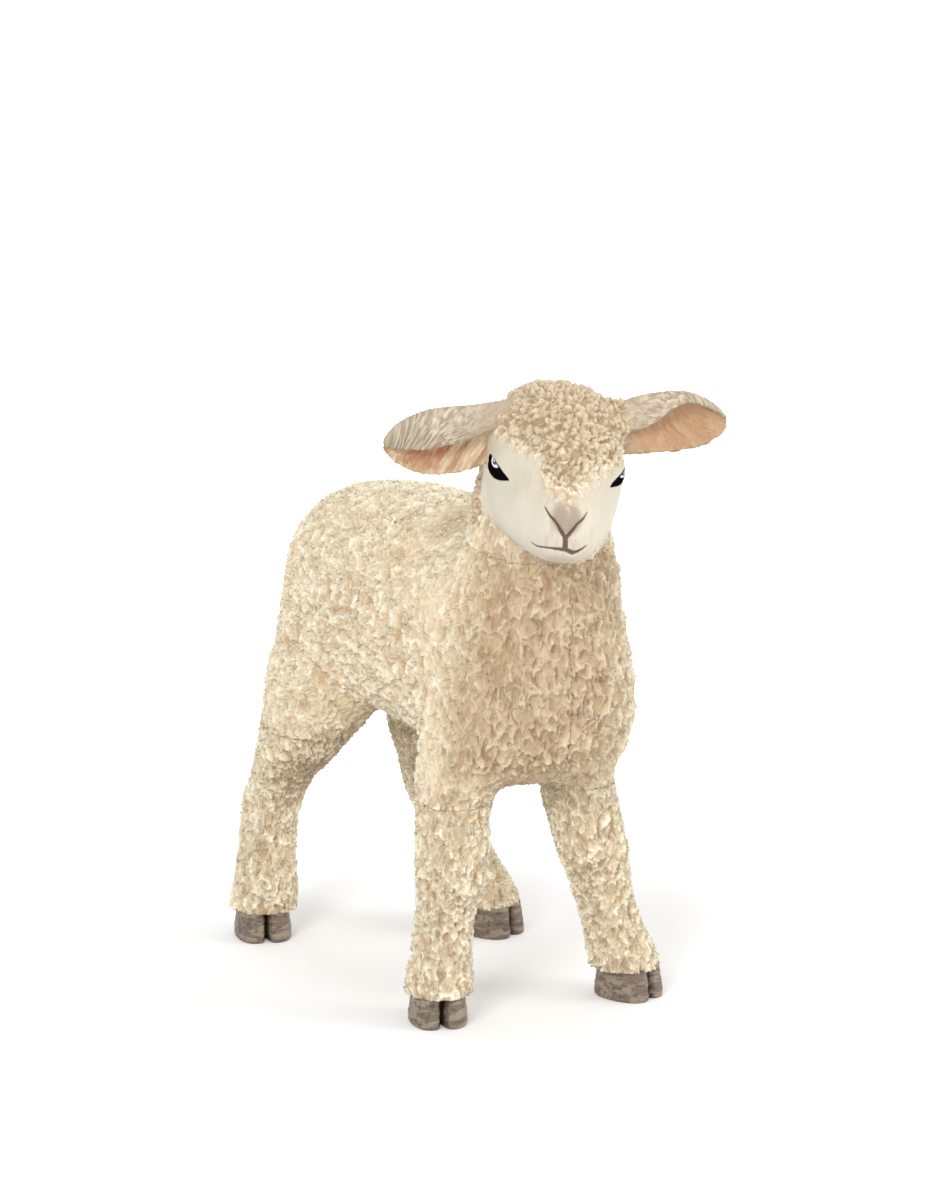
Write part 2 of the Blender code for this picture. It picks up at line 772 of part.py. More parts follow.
def build_legs(skin, parts, guides, finish):
    """Cut the four legs from the skin and give each its peg and hoof socket."""
    far = reach()
    for name in LEGS:
        top, _ = leg_ends(name)
        low = Vector((0.0 if top.x > 0 else -far, 0.0 if top.y > 0 else -far, HOOF_HEIGHT))
        high = Vector((far if top.x > 0 else 0.0, far if top.y > 0 else 0.0, 0.0))
        high.z = LEG_PARTING_HEIGHT - FIT_GAP / 2
        leg = part_from(name, skin, finish, parts)
        cut_skin(leg, region(f"{name}_region", guides, low, high), "INTERSECT")

        form = bmesh.new()
        start = leg_peg_foot(name) - Vector((0.0, 0.0, OVERRUN))
        peg(form, start, Vector((0.0, 0.0, 1.0)), LEG_PEG_DIAMETER, LEG_PEG_LENGTH + OVERRUN)
        cut_skin(leg, guide_from(f"{name}_peg", form, guides), "UNION")

        form = bmesh.new()
        _, foot = leg_ends(name)
        start = foot + Vector((0.0, 0.0, HOOF_HEIGHT - OVERRUN))
        depth = HOOF_PEG_LENGTH + OVERRUN
        peg(form, start, Vector((0.0, 0.0, 1.0)), HOOF_PEG_DIAMETER + 2 * FIT_GAP, depth)
        cut_skin(leg, guide_from(f"{name}_hoof_socket", form, guides), "DIFFERENCE")


def build_hooves(parts, guides, finish):
    """Make the four cloven hooves with their pegs."""
    for name in LEGS:
        hoof = object_from(name.replace("leg", "hoof"), hoof_form(name), parts)
        dress(hoof, finish)
        add_boolean(hoof, guide_from(f"{name}_cleft", cleft_form(name), guides), "DIFFERENCE")
        form = bmesh.new()
        _, foot = leg_ends(name)
        start = foot + Vector((0.0, 0.0, HOOF_HEIGHT * HOOF_PEG_SHARE))
        rise = HOOF_HEIGHT * (1.0 - HOOF_PEG_SHARE) + HOOF_PEG_LENGTH - FIT_GAP
        peg(form, start, Vector((0.0, 0.0, 1.0)), HOOF_PEG_DIAMETER, rise)
        add_boolean(hoof, guide_from(f"{name}_hoof_peg", form, guides), "UNION")


def build_head(skin, tree, below_neck, parts, guides, finish):
    """Make the head with its neck peg and the sockets of its ears and eyes."""
    head = part_from("head", skin, finish, parts)
    cut_skin(head, below_neck, "DIFFERENCE")
    plane = neck_plane()
    down = -(plane.to_3x3() @ Vector((0.0, 0.0, 1.0)))
    form = bmesh.new()
    start = plane.translation - down * (FIT_GAP + OVERRUN)
    peg(form, start, down, NECK_PEG_DIAMETER, NECK_PEG_LENGTH + OVERRUN)
    cut_skin(head, guide_from("neck_peg", form, guides), "UNION")
    for name in EAR_PLACES:
        form = bmesh.new()
        foot, inward = ear_peg_line(name, tree)
        length = EAR_PEG_LENGTH + OVERRUN + FIT_GAP
        peg(form, foot - inward * OVERRUN, inward, EAR_PEG_DIAMETER + 2 * FIT_GAP, length)
        cut_skin(head, guide_from(f"{name}_socket", form, guides), "DIFFERENCE")
    for name, side in EYE_SIDES.items():
        wide = 2 * EYE_GAP
        socket = almond_form(
            eye_place(tree, side),
            EYE_LENGTH + wide,
            EYE_WIDTH + wide,
            EYE_BULGE + OVERRUN,
            EYE_PLUG_DEPTH + EYE_GAP,
        )
        cut_skin(head, guide_from(f"{name}_socket", socket, guides), "DIFFERENCE")


def ear_peg_line(name, tree):
    """Point on the head's skin under an ear, and the way its peg goes in."""
    root, ahead, out, _ = ear_axes(name)
    back, _ = EAR_PEG_SHARES
    middle = root + ahead * (back * EAR_WIDTH)
    spot, _, _, _ = tree.ray_cast(middle + out * reach(), -out)
    return spot, -out


def build_ears(tree, envelope, parts, guides, finish):
    """Make both ears, trimmed to the head and carried by a peg."""
    for name in EAR_PLACES:
        leaf = guide_from(f"{name}_leaf", ear_form(name), guides)
        skin = skin_of(leaf, EAR_VOXEL, EAR_SMOOTHING, EAR_SKIN_SHARE)
        ear = part_from(name, skin, finish, parts)
        cut_skin(ear, envelope, "DIFFERENCE")
        foot, inward = ear_peg_line(name, tree)
        form = bmesh.new()
        _, outside = EAR_PEG_SHARES
        start = foot - inward * (EAR_LENGTH * outside)
        peg(form, start, inward, EAR_PEG_DIAMETER, EAR_LENGTH * outside + EAR_PEG_LENGTH)
        cut_skin(ear, guide_from(f"{name}_peg", form, guides), "UNION")


def build_eyes(tree, parts, finish):
    """Make both eyes."""
    for name, side in EYE_SIDES.items():
        place = eye_place(tree, side)
        form = almond_form(place, EYE_LENGTH, EYE_WIDTH, EYE_BULGE, EYE_PLUG_DEPTH)
        dress(object_from(name, form, parts), finish)


def tail_peg_line():
    """Foot of the tail's peg and the way it goes into the rump."""
    inward = Vector((0.0, -1.0, 0.0))
    back, down = TAIL_PEG_SHARES
    foot = tail_root() + Vector((0.0, TAIL_WIDTH * back, -TAIL_LENGTH * down))
    return foot, inward


def build_tail(envelope, parts, guides, finish):
    """Make the tail, trimmed to the rump and carried by a peg."""
    tail = object_from("tail", tail_form(), parts)
    dress(tail, finish)
    cut_skin(tail, envelope, "DIFFERENCE")
    form = bmesh.new()
    foot, inward = tail_peg_line()
    peg(form, foot, inward, TAIL_PEG_DIAMETER, TAIL_PEG_LENGTH)
    cut_skin(tail, guide_from("tail_peg", form, guides), "UNION")


def centre_on_origin(parts, guides):
    """Hang every moulding and cutter on an empty that puts the figure's middle on the origin."""
    bpy.context.view_layer.update()
    graph = bpy.context.evaluated_depsgraph_get()
    corners = []
    for made in parts.objects:
        done = made.evaluated_get(graph)
        corners += [vert.co.copy() for vert in done.data.vertices]
    root = bpy.data.objects.new("lamb_root", None)
    parts.objects.link(root)
    for axis in range(2):
        values = [corner[axis] for corner in corners]
        root.location[axis] = -(min(values) + max(values)) / 2
    for made in [*parts.objects, *guides.objects]:
        if made is not root:
            made.parent = root


def main():
    """Build the whole figure."""
    clear_scene()
    parts = make_collection("toy_lamb")
    guides = make_collection("cutters")
    fleece, face, ear_skin, horn, gloss = [make_material(name) for name in FINISHES]
    far = reach()

    form = bmesh.new()
    trunk_form(form)
    neck_form(form)
    for name in LEGS:
        leg_form(form, name)
    body_guide = guide_from("body_lumps", form, guides)
    body_skin = skin_of(body_guide, BODY_VOXEL, BODY_SMOOTHING, SKIN_SHARE)

    form = bmesh.new()
    head_form(form)
    neck_form(form)
    head_guide = guide_from("head_lumps", form, guides)
    head_skin = skin_of(head_guide, HEAD_VOXEL, HEAD_SMOOTHING, SKIN_SHARE)

    form = bmesh.new()
    form.from_mesh(head_skin)
    tree = BVHTree.FromBMesh(form)
    form.free()
    head_envelope = guide_from("head_envelope", swollen(head_skin, FIT_GAP), guides)
    body_envelope = guide_from("body_envelope", swollen(body_skin, FIT_GAP), guides)

    plane = neck_plane()
    form = bmesh.new()
    block(form, Vector((-far, -far, 0.0)), Vector((far, far, far)), plane)
    above_neck = guide_from("above_neck", form, guides)
    form = bmesh.new()
    block(form, Vector((-far, -far, -far)), Vector((far, far, FIT_GAP)), plane)
    below_neck = guide_from("below_neck", form, guides)

    build_torso(body_skin, above_neck, parts, guides, fleece)
    build_legs(body_skin, parts, guides, fleece)
    build_hooves(parts, guides, horn)
    build_head(head_skin, tree, below_neck, parts, guides, face)
    build_ears(tree, head_envelope, parts, guides, ear_skin)
    build_eyes(tree, parts, gloss)
    build_tail(body_envelope, parts, guides, fleece)
    centre_on_origin(parts, guides)


main()
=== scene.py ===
"""Looks of a standing toy lamb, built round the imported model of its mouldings.

One skin is melted over the mouldings and laid with curls of wool by a
Geometry Nodes tree, then parted into the quarters of the body, legs and head.
Tail, ears, eyes and hooves are made on their own. Lengths are in millimetres
up to the point where a mesh is written.
"""

from __future__ import annotations

import enum
import json
import logging
import math
from dataclasses import dataclass, field
from typing import Any, Iterable, Sequence

import bmesh
import bpy
import numpy as np
from mathutils import Matrix, Vector
from mathutils.bvhtree import BVHTree

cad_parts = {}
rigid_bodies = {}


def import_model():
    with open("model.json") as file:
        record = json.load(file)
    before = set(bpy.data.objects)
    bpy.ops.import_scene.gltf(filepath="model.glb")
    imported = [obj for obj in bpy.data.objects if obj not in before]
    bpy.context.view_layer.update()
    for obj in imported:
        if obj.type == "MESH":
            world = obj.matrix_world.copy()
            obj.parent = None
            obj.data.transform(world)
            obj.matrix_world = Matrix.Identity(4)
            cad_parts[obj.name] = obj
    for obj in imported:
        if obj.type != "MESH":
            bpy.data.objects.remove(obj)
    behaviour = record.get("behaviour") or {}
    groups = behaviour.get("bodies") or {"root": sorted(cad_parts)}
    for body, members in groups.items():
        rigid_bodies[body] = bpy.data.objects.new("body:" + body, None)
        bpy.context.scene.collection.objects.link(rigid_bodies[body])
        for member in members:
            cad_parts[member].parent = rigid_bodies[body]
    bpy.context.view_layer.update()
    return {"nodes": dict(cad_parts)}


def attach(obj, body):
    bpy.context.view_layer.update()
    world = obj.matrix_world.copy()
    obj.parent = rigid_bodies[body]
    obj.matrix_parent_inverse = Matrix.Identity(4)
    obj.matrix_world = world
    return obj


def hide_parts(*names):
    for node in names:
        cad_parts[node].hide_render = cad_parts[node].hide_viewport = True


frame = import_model()

MM = 0.001
BODY = "root"
FAR_OFF = 9.0  # millimetres, kept where no line and no eye is near
WELD = 0.001  # millimetres within which points of a moulding are one
ON_CUT = 0.003  # millimetres within which a point lies on a cut
WHITE = (1.0, 1.0, 1.0, 1.0)
PAIRED = ("eye", "foreleg", "hindleg", "forehoof", "hindhoof")
LOG = logging.getLogger("toy_lamb")

Colour = tuple[float, float, float, float]
Triple = tuple[float, float, float]
Span = tuple[float, float]


def paint(red: int, green: int, blue: int) -> Colour:
    """Turn a colour as it looks, 0 to 255, into the light that a shader takes.

    Args:
        red: Red as it looks.
        green: Green as it looks.
        blue: Blue as it looks.

    Returns:
        The colour in linear light, with full alpha.
    """
    parts = []
    for level in (red, green, blue):
        share = level / 255.0
        parts.append(share / 12.92 if share <= 0.04045 else ((share + 0.055) / 1.055) ** 2.4)
    return (parts[0], parts[1], parts[2], 1.0)


def smoothstep(low: float, high: float, value: np.ndarray) -> np.ndarray:
    """Rise smoothly from 0 at low to 1 at high, either way round."""
    share = np.clip((value - low) / (high - low), 0.0, 1.0)
    return share * share * (3.0 - 2.0 * share)


def eased(table: Sequence[Sequence[float]], at: np.ndarray) -> np.ndarray:
    """Read a table of shares along a smooth curve.

    Args:
        table: Rows that start with a rising place, then the values there.
        at: Places at which the curve is read.

    Returns:
        One row of values for each place.
    """
    rows = np.array(table, float)
    knots, values = rows[:, 0], rows[:, 1:]
    slopes = np.gradient(values, knots, axis=0)
    i = np.clip(np.searchsorted(knots, at, side="right") - 1, 0, len(knots) - 2)
    span = (knots[i + 1] - knots[i])[:, None]
    t = np.clip((at - knots[i])[:, None] / span, 0.0, 1.0)
    start, end = values[i], values[i + 1]
    rise = (2 * t**3 - 3 * t**2 + 1) * start + (t**3 - 2 * t**2 + t) * span * slopes[i]
    return rise + (3 * t**2 - 2 * t**3) * end + (t**3 - t**2) * span * slopes[i + 1]


# Node trees


class Signal:
    """A socket that takes Python arithmetic and adds Math nodes for it."""

    def __init__(self, graph: Graph, socket: bpy.types.NodeSocket) -> None:
        """Keep the graph and the socket."""
        self.graph = graph
        self.socket = socket

    def __add__(self, other: Signal | float) -> Signal:
        """Add."""
        return self.graph.math("ADD", self, other)

    def __sub__(self, other: Signal | float) -> Signal:
        """Subtract."""
        return self.graph.math("SUBTRACT", self, other)

    def __rsub__(self, other: float) -> Signal:
        """Subtract, reflected."""
        return self.graph.math("SUBTRACT", other, self)

    def __mul__(self, other: Signal | float) -> Signal:
        """Multiply."""
        return self.graph.math("MULTIPLY", self, other)

    def __truediv__(self, other: Signal | float) -> Signal:
        """Divide."""
        return self.graph.math("DIVIDE", self, other)

    def __abs__(self) -> Signal:
        """Take the size without its sign."""
        return self.graph.math("ABSOLUTE", self)

    def larger(self, other: Signal | float) -> Signal:
        """Take the larger of two values."""
        return self.graph.math("MAXIMUM", self, other)

    def eased(self, low: float, high: float) -> Signal:
        """Rise smoothly from 0 at low to 1 at high.

        Args:
            low: Value that gives 0.
            high: Value that gives 1. It may lie below low.

        Returns:
            The eased value, between 0 and 1.
        """
        if low > high:
            return 1.0 - self.eased(high, low)
        node = self.graph.node(
            "ShaderNodeMapRange",
            {"interpolation_type": "SMOOTHSTEP"},
            {"Value": self, "From Min": low, "From Max": high},
        )
        return self.graph.out(node)


class Graph:
    """Adds nodes to one tree, for a material or for geometry."""

    def __init__(self, tree: bpy.types.NodeTree) -> None:
        """Keep the tree."""
        self.tree = tree

    def node(
        self,
        kind: str,
        settings: dict[str, Any] | None = None,
        values: dict[str | int, Any] | None = None,
    ) -> bpy.types.Node:
        """Add a node.

        Args:
            kind: The node's type.
            settings: Properties of the node, set first, and a ramp's stops.
            values: Values or links of its input sockets, by name, identifier or number.

        Returns:
            The node.
        """
        made = self.tree.nodes.new(kind)
        for name, value in (settings or {}).items():
            if name == "stops":
                self._set_stops(made, value)
            else:
                setattr(made, name, value)
        for key, value in (values or {}).items():
            self.feed(made, key, value)
        return made

    @staticmethod
    def _set_stops(ramp: bpy.types.Node, stops: Sequence[tuple[float, Colour]]) -> None:
        """Give a colour ramp its stops."""
        elements = ramp.color_ramp.elements
        while len(elements) < len(stops):
            elements.new(1.0)
        for element, (place, colour) in zip(elements, stops):
            element.position = place
            element.color = colour

    def feed(self, node: bpy.types.Node, key: str | int, value: Any) -> None:
        """Set or link one input socket of a node."""
        if isinstance(key, int):
            socket = node.inputs[key]
        else:
            named = [each for each in node.inputs if key == each.identifier]
            socket = (named or [each for each in node.inputs if key == each.name])[0]
        if isinstance(value, Signal):
            value = value.socket
        if isinstance(value, bpy.types.NodeSocket):
            self.tree.links.new(value, socket)
        else:
            socket.default_value = value

    def out(self, node: bpy.types.Node, key: str | int = 0) -> Signal:
        """Wrap an output socket of a node."""
        return Signal(self, node.outputs[key])

    def math(self, operation: str, *values: Signal | float) -> Signal:
        """Add a Math node on up to three values."""
        fed = dict(enumerate(values))
        return self.out(self.node("ShaderNodeMath", {"operation": operation}, fed))

    def vector(self, operation: str, *values: Any, key: str = "Vector") -> Signal:
        """Add a Vector Math node.

        Args:
            operation: What it does.
            values: Its vectors, or a vector and a number for SCALE.
            key: The output that is read.

        Returns:
            The result.
        """
        fed: dict[str | int, Any] = dict(enumerate(values))
        if operation == "SCALE":
            fed = {0: values[0], "Scale": values[1]}
        return self.out(self.node("ShaderNodeVectorMath", {"operation": operation}, fed), key)

    def blend(self, factor: Signal | float, low: Any, high: Any) -> Signal:
        """Mix two colours."""
        values = {"Factor_Float": factor, "A_Color": low, "B_Color": high}
        node = self.node("ShaderNodeMix", {"data_type": "RGBA"}, values)
        return Signal(self, next(s for s in node.outputs if s.type == "RGBA"))

    def noise(
        self, spot: Signal, scale: float, detail: float = 1.0, colour: bool = False
    ) -> Signal:
        """Add a noise over a place in millimetres.

        Args:
            spot: The place.
            scale: Lumps in a millimetre.
            detail: Octaves.
            colour: Whether the three-part output is read.

        Returns:
            The noise, 0 to 1.
        """
        values = {"Vector": spot, "Scale": scale, "Detail": detail}
        return self.out(self.node("ShaderNodeTexNoise", None, values), int(colour))

    def cells(self, spot: Signal, scale: float) -> Signal:
        """Distance from the points of so many cells in a millimetre."""
        node = self.node("ShaderNodeTexVoronoi", None, {"Vector": spot, "Scale": scale})
        return self.out(node, "Distance")

    def drawn_out(self, spot: Signal, direction: Triple, length: float) -> Signal:
        """Make a pattern longer along a direction.

        Args:
            spot: Place in millimetres.
            direction: The direction.
            length: How many times longer.

        Returns:
            The place to read the pattern at.
        """
        unit = tuple(Vector(direction).normalized())
        share = self.vector("DOT_PRODUCT", spot, unit, key="Value") * (1.0 / length - 1.0)
        return self.vector("ADD", spot, self.vector("SCALE", unit, share))

    def off_line(self, spot: Signal, scale: float, width: float, step: float) -> Signal:
        """Measure how far a place is from winding lines, where a noise crosses its middle.

        Args:
            spot: Place in millimetres.
            scale: Lumps in a millimetre.
            width: Change of the noise that counts as 1.
            step: Shift that tells one set of lines from another.

        Returns:
            0 on a line, and 1 at its width.
        """
        moved = self.vector("ADD", spot, (step, -step, 0.5 * step))
        return abs(self.noise(moved, scale) - 0.5) / width

    def ridges(self, spot: Signal, scale: float, width: float, step: float) -> Signal:
        """Raise winding ridges along such lines, 1 on top and 0 between them."""
        return self.off_line(spot, scale, width, step).eased(1.0, 0.0)

    def warped(self, spot: Signal, scale: float, amount: float) -> Signal:
        """Shift a place by a soft noise, so that a pattern on it wanders."""
        shift = self.vector("SUBTRACT", self.noise(spot, scale, colour=True), (0.5,) * 3)
        return self.vector("ADD", spot, self.vector("SCALE", shift, amount))


class ShaderGraph(Graph):
    """The node tree of one material."""

    def __init__(self, name: str) -> None:
        """Start a material with a plain surface shader."""
        self.material = bpy.data.materials.new(name)
        self.material.use_nodes = True
        super().__init__(self.material.node_tree)
        self.shader = self.tree.nodes["Principled BSDF"]

    def spot(self) -> Signal:
        """Place on the object in millimetres."""
        node = self.node("ShaderNodeTexCoord")
        return self.vector("SCALE", node.outputs["Object"], 1.0 / MM)

    def mask(self, name: str) -> Signal:
        """Value of an attribute of the mesh."""
        return self.out(self.node("ShaderNodeAttribute", {"attribute_name": name}), "Fac")

    def lane(self, name: str) -> Signal:
        """Three-part value of an attribute of the mesh."""
        return self.out(self.node("ShaderNodeAttribute", {"attribute_name": name}), "Vector")

    def finish(self, roughness: float, gloss: float) -> None:
        """Set the roughness and the gloss of the surface."""
        self.feed(self.shader, "Roughness", roughness)
        self.feed(self.shader, "Specular IOR Level", gloss)

    def colour(self, tone: Any) -> None:
        """Give the surface its colour."""
        self.feed(self.shader, "Base Color", tone)

    def ramp(self, factor: Signal, stops: Sequence[tuple[float, Colour]]) -> Signal:
        """Read a colour from a ramp."""
        return self.out(self.node("ShaderNodeValToRGB", {"stops": stops}, {0: factor}))

    def raise_bump(self, height: Signal, depth: float, strength: float) -> None:
        """Feed a fine relief to the surface.

        Args:
            height: The relief, 0 to 1.
            depth: Its depth in millimetres.
            strength: How much of it is used.
        """
        values = {"Height": height, "Distance": depth * MM, "Strength": strength}
        node = self.node("ShaderNodeBump", None, values)
        self.feed(self.shader, "Normal", node.outputs[0])


class ReliefTree(Graph):
    """A Geometry Nodes tree that raises a relief on a mesh and paints it."""

    def __init__(self, name: str, inputs: dict[str, float]) -> None:
        """Start the tree with its named inputs.

        Args:
            name: Name of the tree.
            inputs: Named sizes and the seed, with their usual values.
        """
        group = bpy.data.node_groups.new(name, "GeometryNodeTree")
        super().__init__(group)
        face = group.interface
        face.new_socket("Geometry", in_out="OUTPUT", socket_type="NodeSocketGeometry")
        face.new_socket("Geometry", in_out="INPUT", socket_type="NodeSocketGeometry")
        for each, usual in inputs.items():
            socket = face.new_socket(each, in_out="INPUT", socket_type="NodeSocketFloat")
            socket.default_value = usual
        face.new_socket("Paint", in_out="INPUT", socket_type="NodeSocketMaterial")
        self.entry = self.node("NodeGroupInput")

    def size(self, name: str) -> Signal:
        """Value of a named input."""
        return self.out(self.entry, name)

    def spot(self) -> Signal:
        """Place of a point in millimetres, moved on by the seed."""
        place = self.vector("SCALE", self.node("GeometryNodeInputPosition").outputs[0], 1.0 / MM)
        step = self.vector("SCALE", (7.3, 3.1, 5.7), self.size("Seed"))
        return self.vector("ADD", place, step)

    def mask(self, name: str) -> Signal:
        """Value of an attribute of the mesh."""
        return self.out(self.node("GeometryNodeInputNamedAttribute", None, {"Name": name}))

    def lane(self, name: str) -> Signal:
        """Three-part value of an attribute of the mesh."""
        settings = {"data_type": "FLOAT_VECTOR"}
        return self.out(self.node("GeometryNodeInputNamedAttribute", settings, {"Name": name}))

    def close(self, height: Signal, kept: dict[str, Signal]) -> None:
        """Raise the points, keep what the paint reads, and set the material.

        Args:
            height: How far each point goes out, in millimetres.
            kept: Attributes for the paint, of which "rest" is a place.
        """
        normal = self.node("GeometryNodeInputNormal").outputs["Normal"]
        offset = self.vector("SCALE", normal, height * MM)
        made = self.entry.outputs["Geometry"]
        for name, value in kept.items():
            settings = {"data_type": "FLOAT_VECTOR" if name == "rest" else "FLOAT"}
            values = {"Geometry": made, "Name": name, "Value": value}
            made = self.node("GeometryNodeStoreNamedAttribute", settings, values).outputs[0]
        values = {"Geometry": made, "Offset": offset}
        made = self.node("GeometryNodeSetPosition", None, values).outputs[0]
        made = self.node("GeometryNodeRealizeInstances", None, {"Geometry": made}).outputs[0]
        values = {"Geometry": made, "Material": self.size("Paint")}
        made = self.node("GeometryNodeSetMaterial", None, values).outputs[0]
        self.node("NodeGroupOutput", None, {0: made})

    def raise_on(
        self, made: bpy.types.Object, material: bpy.types.Material, sizes: dict[str, float]
    ) -> None:
        """Run the tree on an object and keep the result as its plain mesh.

        Args:
            made: The object.
            material: Its paint.
            sizes: Named inputs that differ from their usual values.
        """
        step = made.modifiers.new(self.tree.name, "NODES")
        step.node_group = self.tree
        for item in self.tree.interface.items_tree:
            if item.in_out == "INPUT" and item.name in sizes:
                step[item.identifier] = sizes[item.name]
            if item.in_out == "INPUT" and item.name == "Paint":
                step[item.identifier] = material
        settle(made)


# Meshes


def settle(made: bpy.types.Object) -> None:
    """Turn an object's modifiers into its plain mesh."""
    bpy.context.view_layer.update()
    graph = bpy.context.evaluated_depsgraph_get()
    old = made.data
    made.data = bpy.data.meshes.new_from_object(made.evaluated_get(graph))
    made.modifiers.clear()
    made.data.name = made.name
    bpy.data.meshes.remove(old)


def form_of(mesh: bpy.types.Mesh, weld: bool = False) -> bmesh.types.BMesh:
    """Open a mesh for editing, with its doubled points joined if that is asked for."""
    form = bmesh.new()
    form.from_mesh(mesh)
    if weld:
        bmesh.ops.remove_doubles(form, verts=form.verts, dist=WELD * MM)
    return form


def write(form: bmesh.types.BMesh, mesh: bpy.types.Mesh) -> bpy.types.Mesh:
    """Write an edited form to a mesh, free the form and return the mesh."""
    form.to_mesh(mesh)
    form.free()
    return mesh


def rows_of(items: Any, name: str, wide: int, kind: Any = np.float32) -> np.ndarray:
    """Read a property of each point, edge or face, as rows of so many numbers."""
    flat = np.empty(len(items) * wide, kind)
    items.foreach_get(name, flat)
    return flat.reshape(-1, wide)


def points_of(mesh: bpy.types.Mesh) -> np.ndarray:
    """Points of a mesh in millimetres."""
    return rows_of(mesh.vertices, "co", 3).astype(float) / MM


def normals_of(mesh: bpy.types.Mesh) -> np.ndarray:
    """Smooth normals of a mesh's points."""
    return rows_of(mesh.vertex_normals, "vector", 3).astype(float)


def edges_of(mesh: bpy.types.Mesh) -> np.ndarray:
    """Pairs of points that share an edge."""
    return rows_of(mesh.edges, "vertices", 2, np.int32)


def move_points(mesh: bpy.types.Mesh, points: np.ndarray) -> None:
    """Write points in millimetres back to a mesh."""
    mesh.vertices.foreach_set("co", (points * MM).astype(np.float32).ravel())
    mesh.update()


def keep_mask(mesh: bpy.types.Mesh, name: str, values: np.ndarray) -> None:
    """Store a value, or a three-part value, on each point of a mesh."""
    kind, slot = ("FLOAT", "value") if values.ndim == 1 else ("FLOAT_VECTOR", "vector")
    layer = mesh.attributes.new(name, kind, "POINT")
    layer.data.foreach_set(slot, values.astype(np.float32).ravel())


def neighbour_sums(edges: np.ndarray, values: np.ndarray) -> np.ndarray:
    """Sum each column of values over the neighbours of every point."""
    one, two = edges.T
    size = len(values)
    sums = [
        np.bincount(one, column[two], size) + np.bincount(two, column[one], size)
        for column in values.T
    ]
    return np.stack(sums, axis=1)


def relaxed(
    points: np.ndarray, edges: np.ndarray, passes: int, pull: np.ndarray | float = 0.5
) -> np.ndarray:
    """Ease points towards the middle of their neighbours.

    Args:
        points: The points.
        edges: Pairs of neighbours.
        passes: How many times.
        pull: Share of the way that a point goes each time.

    Returns:
        The eased points.
    """
    size = len(points)
    count = np.maximum(np.bincount(edges.ravel(), minlength=size), 1)[:, None]
    share = np.broadcast_to(np.asarray(pull, float), (size,))[:, None]
    for _ in range(passes):
        points = points + share * (neighbour_sums(edges, points) / count - points)
    return points


def away_from(points: np.ndarray, centre: Triple, reach: Triple) -> np.ndarray:
    """Distance of points from a centre, in shares of a reach along each axis."""
    return np.linalg.norm((points - np.array(centre)) / np.array(reach), axis=1)


def run_along(line: np.ndarray) -> np.ndarray:
    """Length of a line up to each of its points."""
    return np.concatenate(([0.0], np.cumsum(np.linalg.norm(np.diff(line, axis=0), axis=1))))


def linked(name: str, data: bpy.types.ID) -> bpy.types.Object:
    """Make an object from its data and put it into the scene."""
    made = bpy.data.objects.new(name, data)
    bpy.context.scene.collection.objects.link(made)
    return made


def melt(made: bpy.types.Object, voxel: float) -> None:
    """Turn an object into one closed skin, with voxels of a size in millimetres."""
    step = made.modifiers.new("melt", "REMESH")
    step.mode = "VOXEL"
    step.voxel_size = voxel * MM
    settle(made)


def refine(made: bpy.types.Object) -> None:
    """Halve the spacing of an object's mesh."""
    step = made.modifiers.new("finer", "SUBSURF")
    step.levels = step.render_levels = 1
    settle(made)


def object_from(
    name: str, points: Iterable[Sequence[float]], faces: Iterable[Sequence[int]]
) -> bpy.types.Object:
    """Make an object at the origin from points in millimetres.

    Args:
        name: Its name.
        points: Its points.
        faces: Its faces, as numbers of points.

    Returns:
        The object, shaded smooth.
    """
    mesh = bpy.data.meshes.new(name)
    mesh.from_pydata([tuple(float(x) * MM for x in point) for point in points], [], list(faces))
    mesh.validate()
    mesh.shade_smooth()
    return linked(name, mesh)


def ring_faces(rings: int, around: int) -> list[tuple[int, ...]]:
    """Faces of a closed loft, with a cap at each end.

    Args:
        rings: How many rings of points.
        around: Points in a ring.

    Returns:
        The faces, which point outwards where the rings turn left along the way.
    """
    faces: list[tuple[int, ...]] = []
    for ring in range(rings - 1):
        for i in range(around):
            j = (i + 1) % around
            low, high = ring * around, (ring + 1) * around
            faces.append((low + i, low + j, high + j, high + i))
    faces.append(tuple(reversed(range(around))))
    faces.append(tuple(range((rings - 1) * around, rings * around)))
    return faces


def face_outwards(made: bpy.types.Object) -> None:
    """Turn every face of a closed object outwards."""
    form = form_of(made.data)
    bmesh.ops.recalc_face_normals(form, faces=form.faces)
    write(form, made.data)


def tree_over(made: bpy.types.Object) -> BVHTree:
    """Search tree over an object's mesh, in metres."""
    form = form_of(made.data)
    tree = BVHTree.FromBMesh(form)
    form.free()
    return tree


def hand_in(made: bpy.types.Object, slot: str, *nodes: str) -> None:
    """Give a piece its body and hide the mouldings that it stands for.

    Args:
        made: The piece.
        slot: Not used.
        nodes: The mouldings.
    """
    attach(made, BODY)
    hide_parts(*nodes)
    LOG.info("%s: %d faces, for %s", made.name, len(made.data.polygons), ", ".join(nodes))


# Where things are


class Side(enum.Enum):
    """Side of the lamb, as the sign of its way along X."""

    RIGHT = -1
    LEFT = 1

    @property
    def word(self) -> str:
        """The side's name in lower case."""
        return self.name.lower()


def by_side(right: Any, left: Any) -> Any:
    """Field of a class that holds one value for each side of the lamb."""
    return field(default_factory=lambda: {Side.RIGHT: right, Side.LEFT: left})


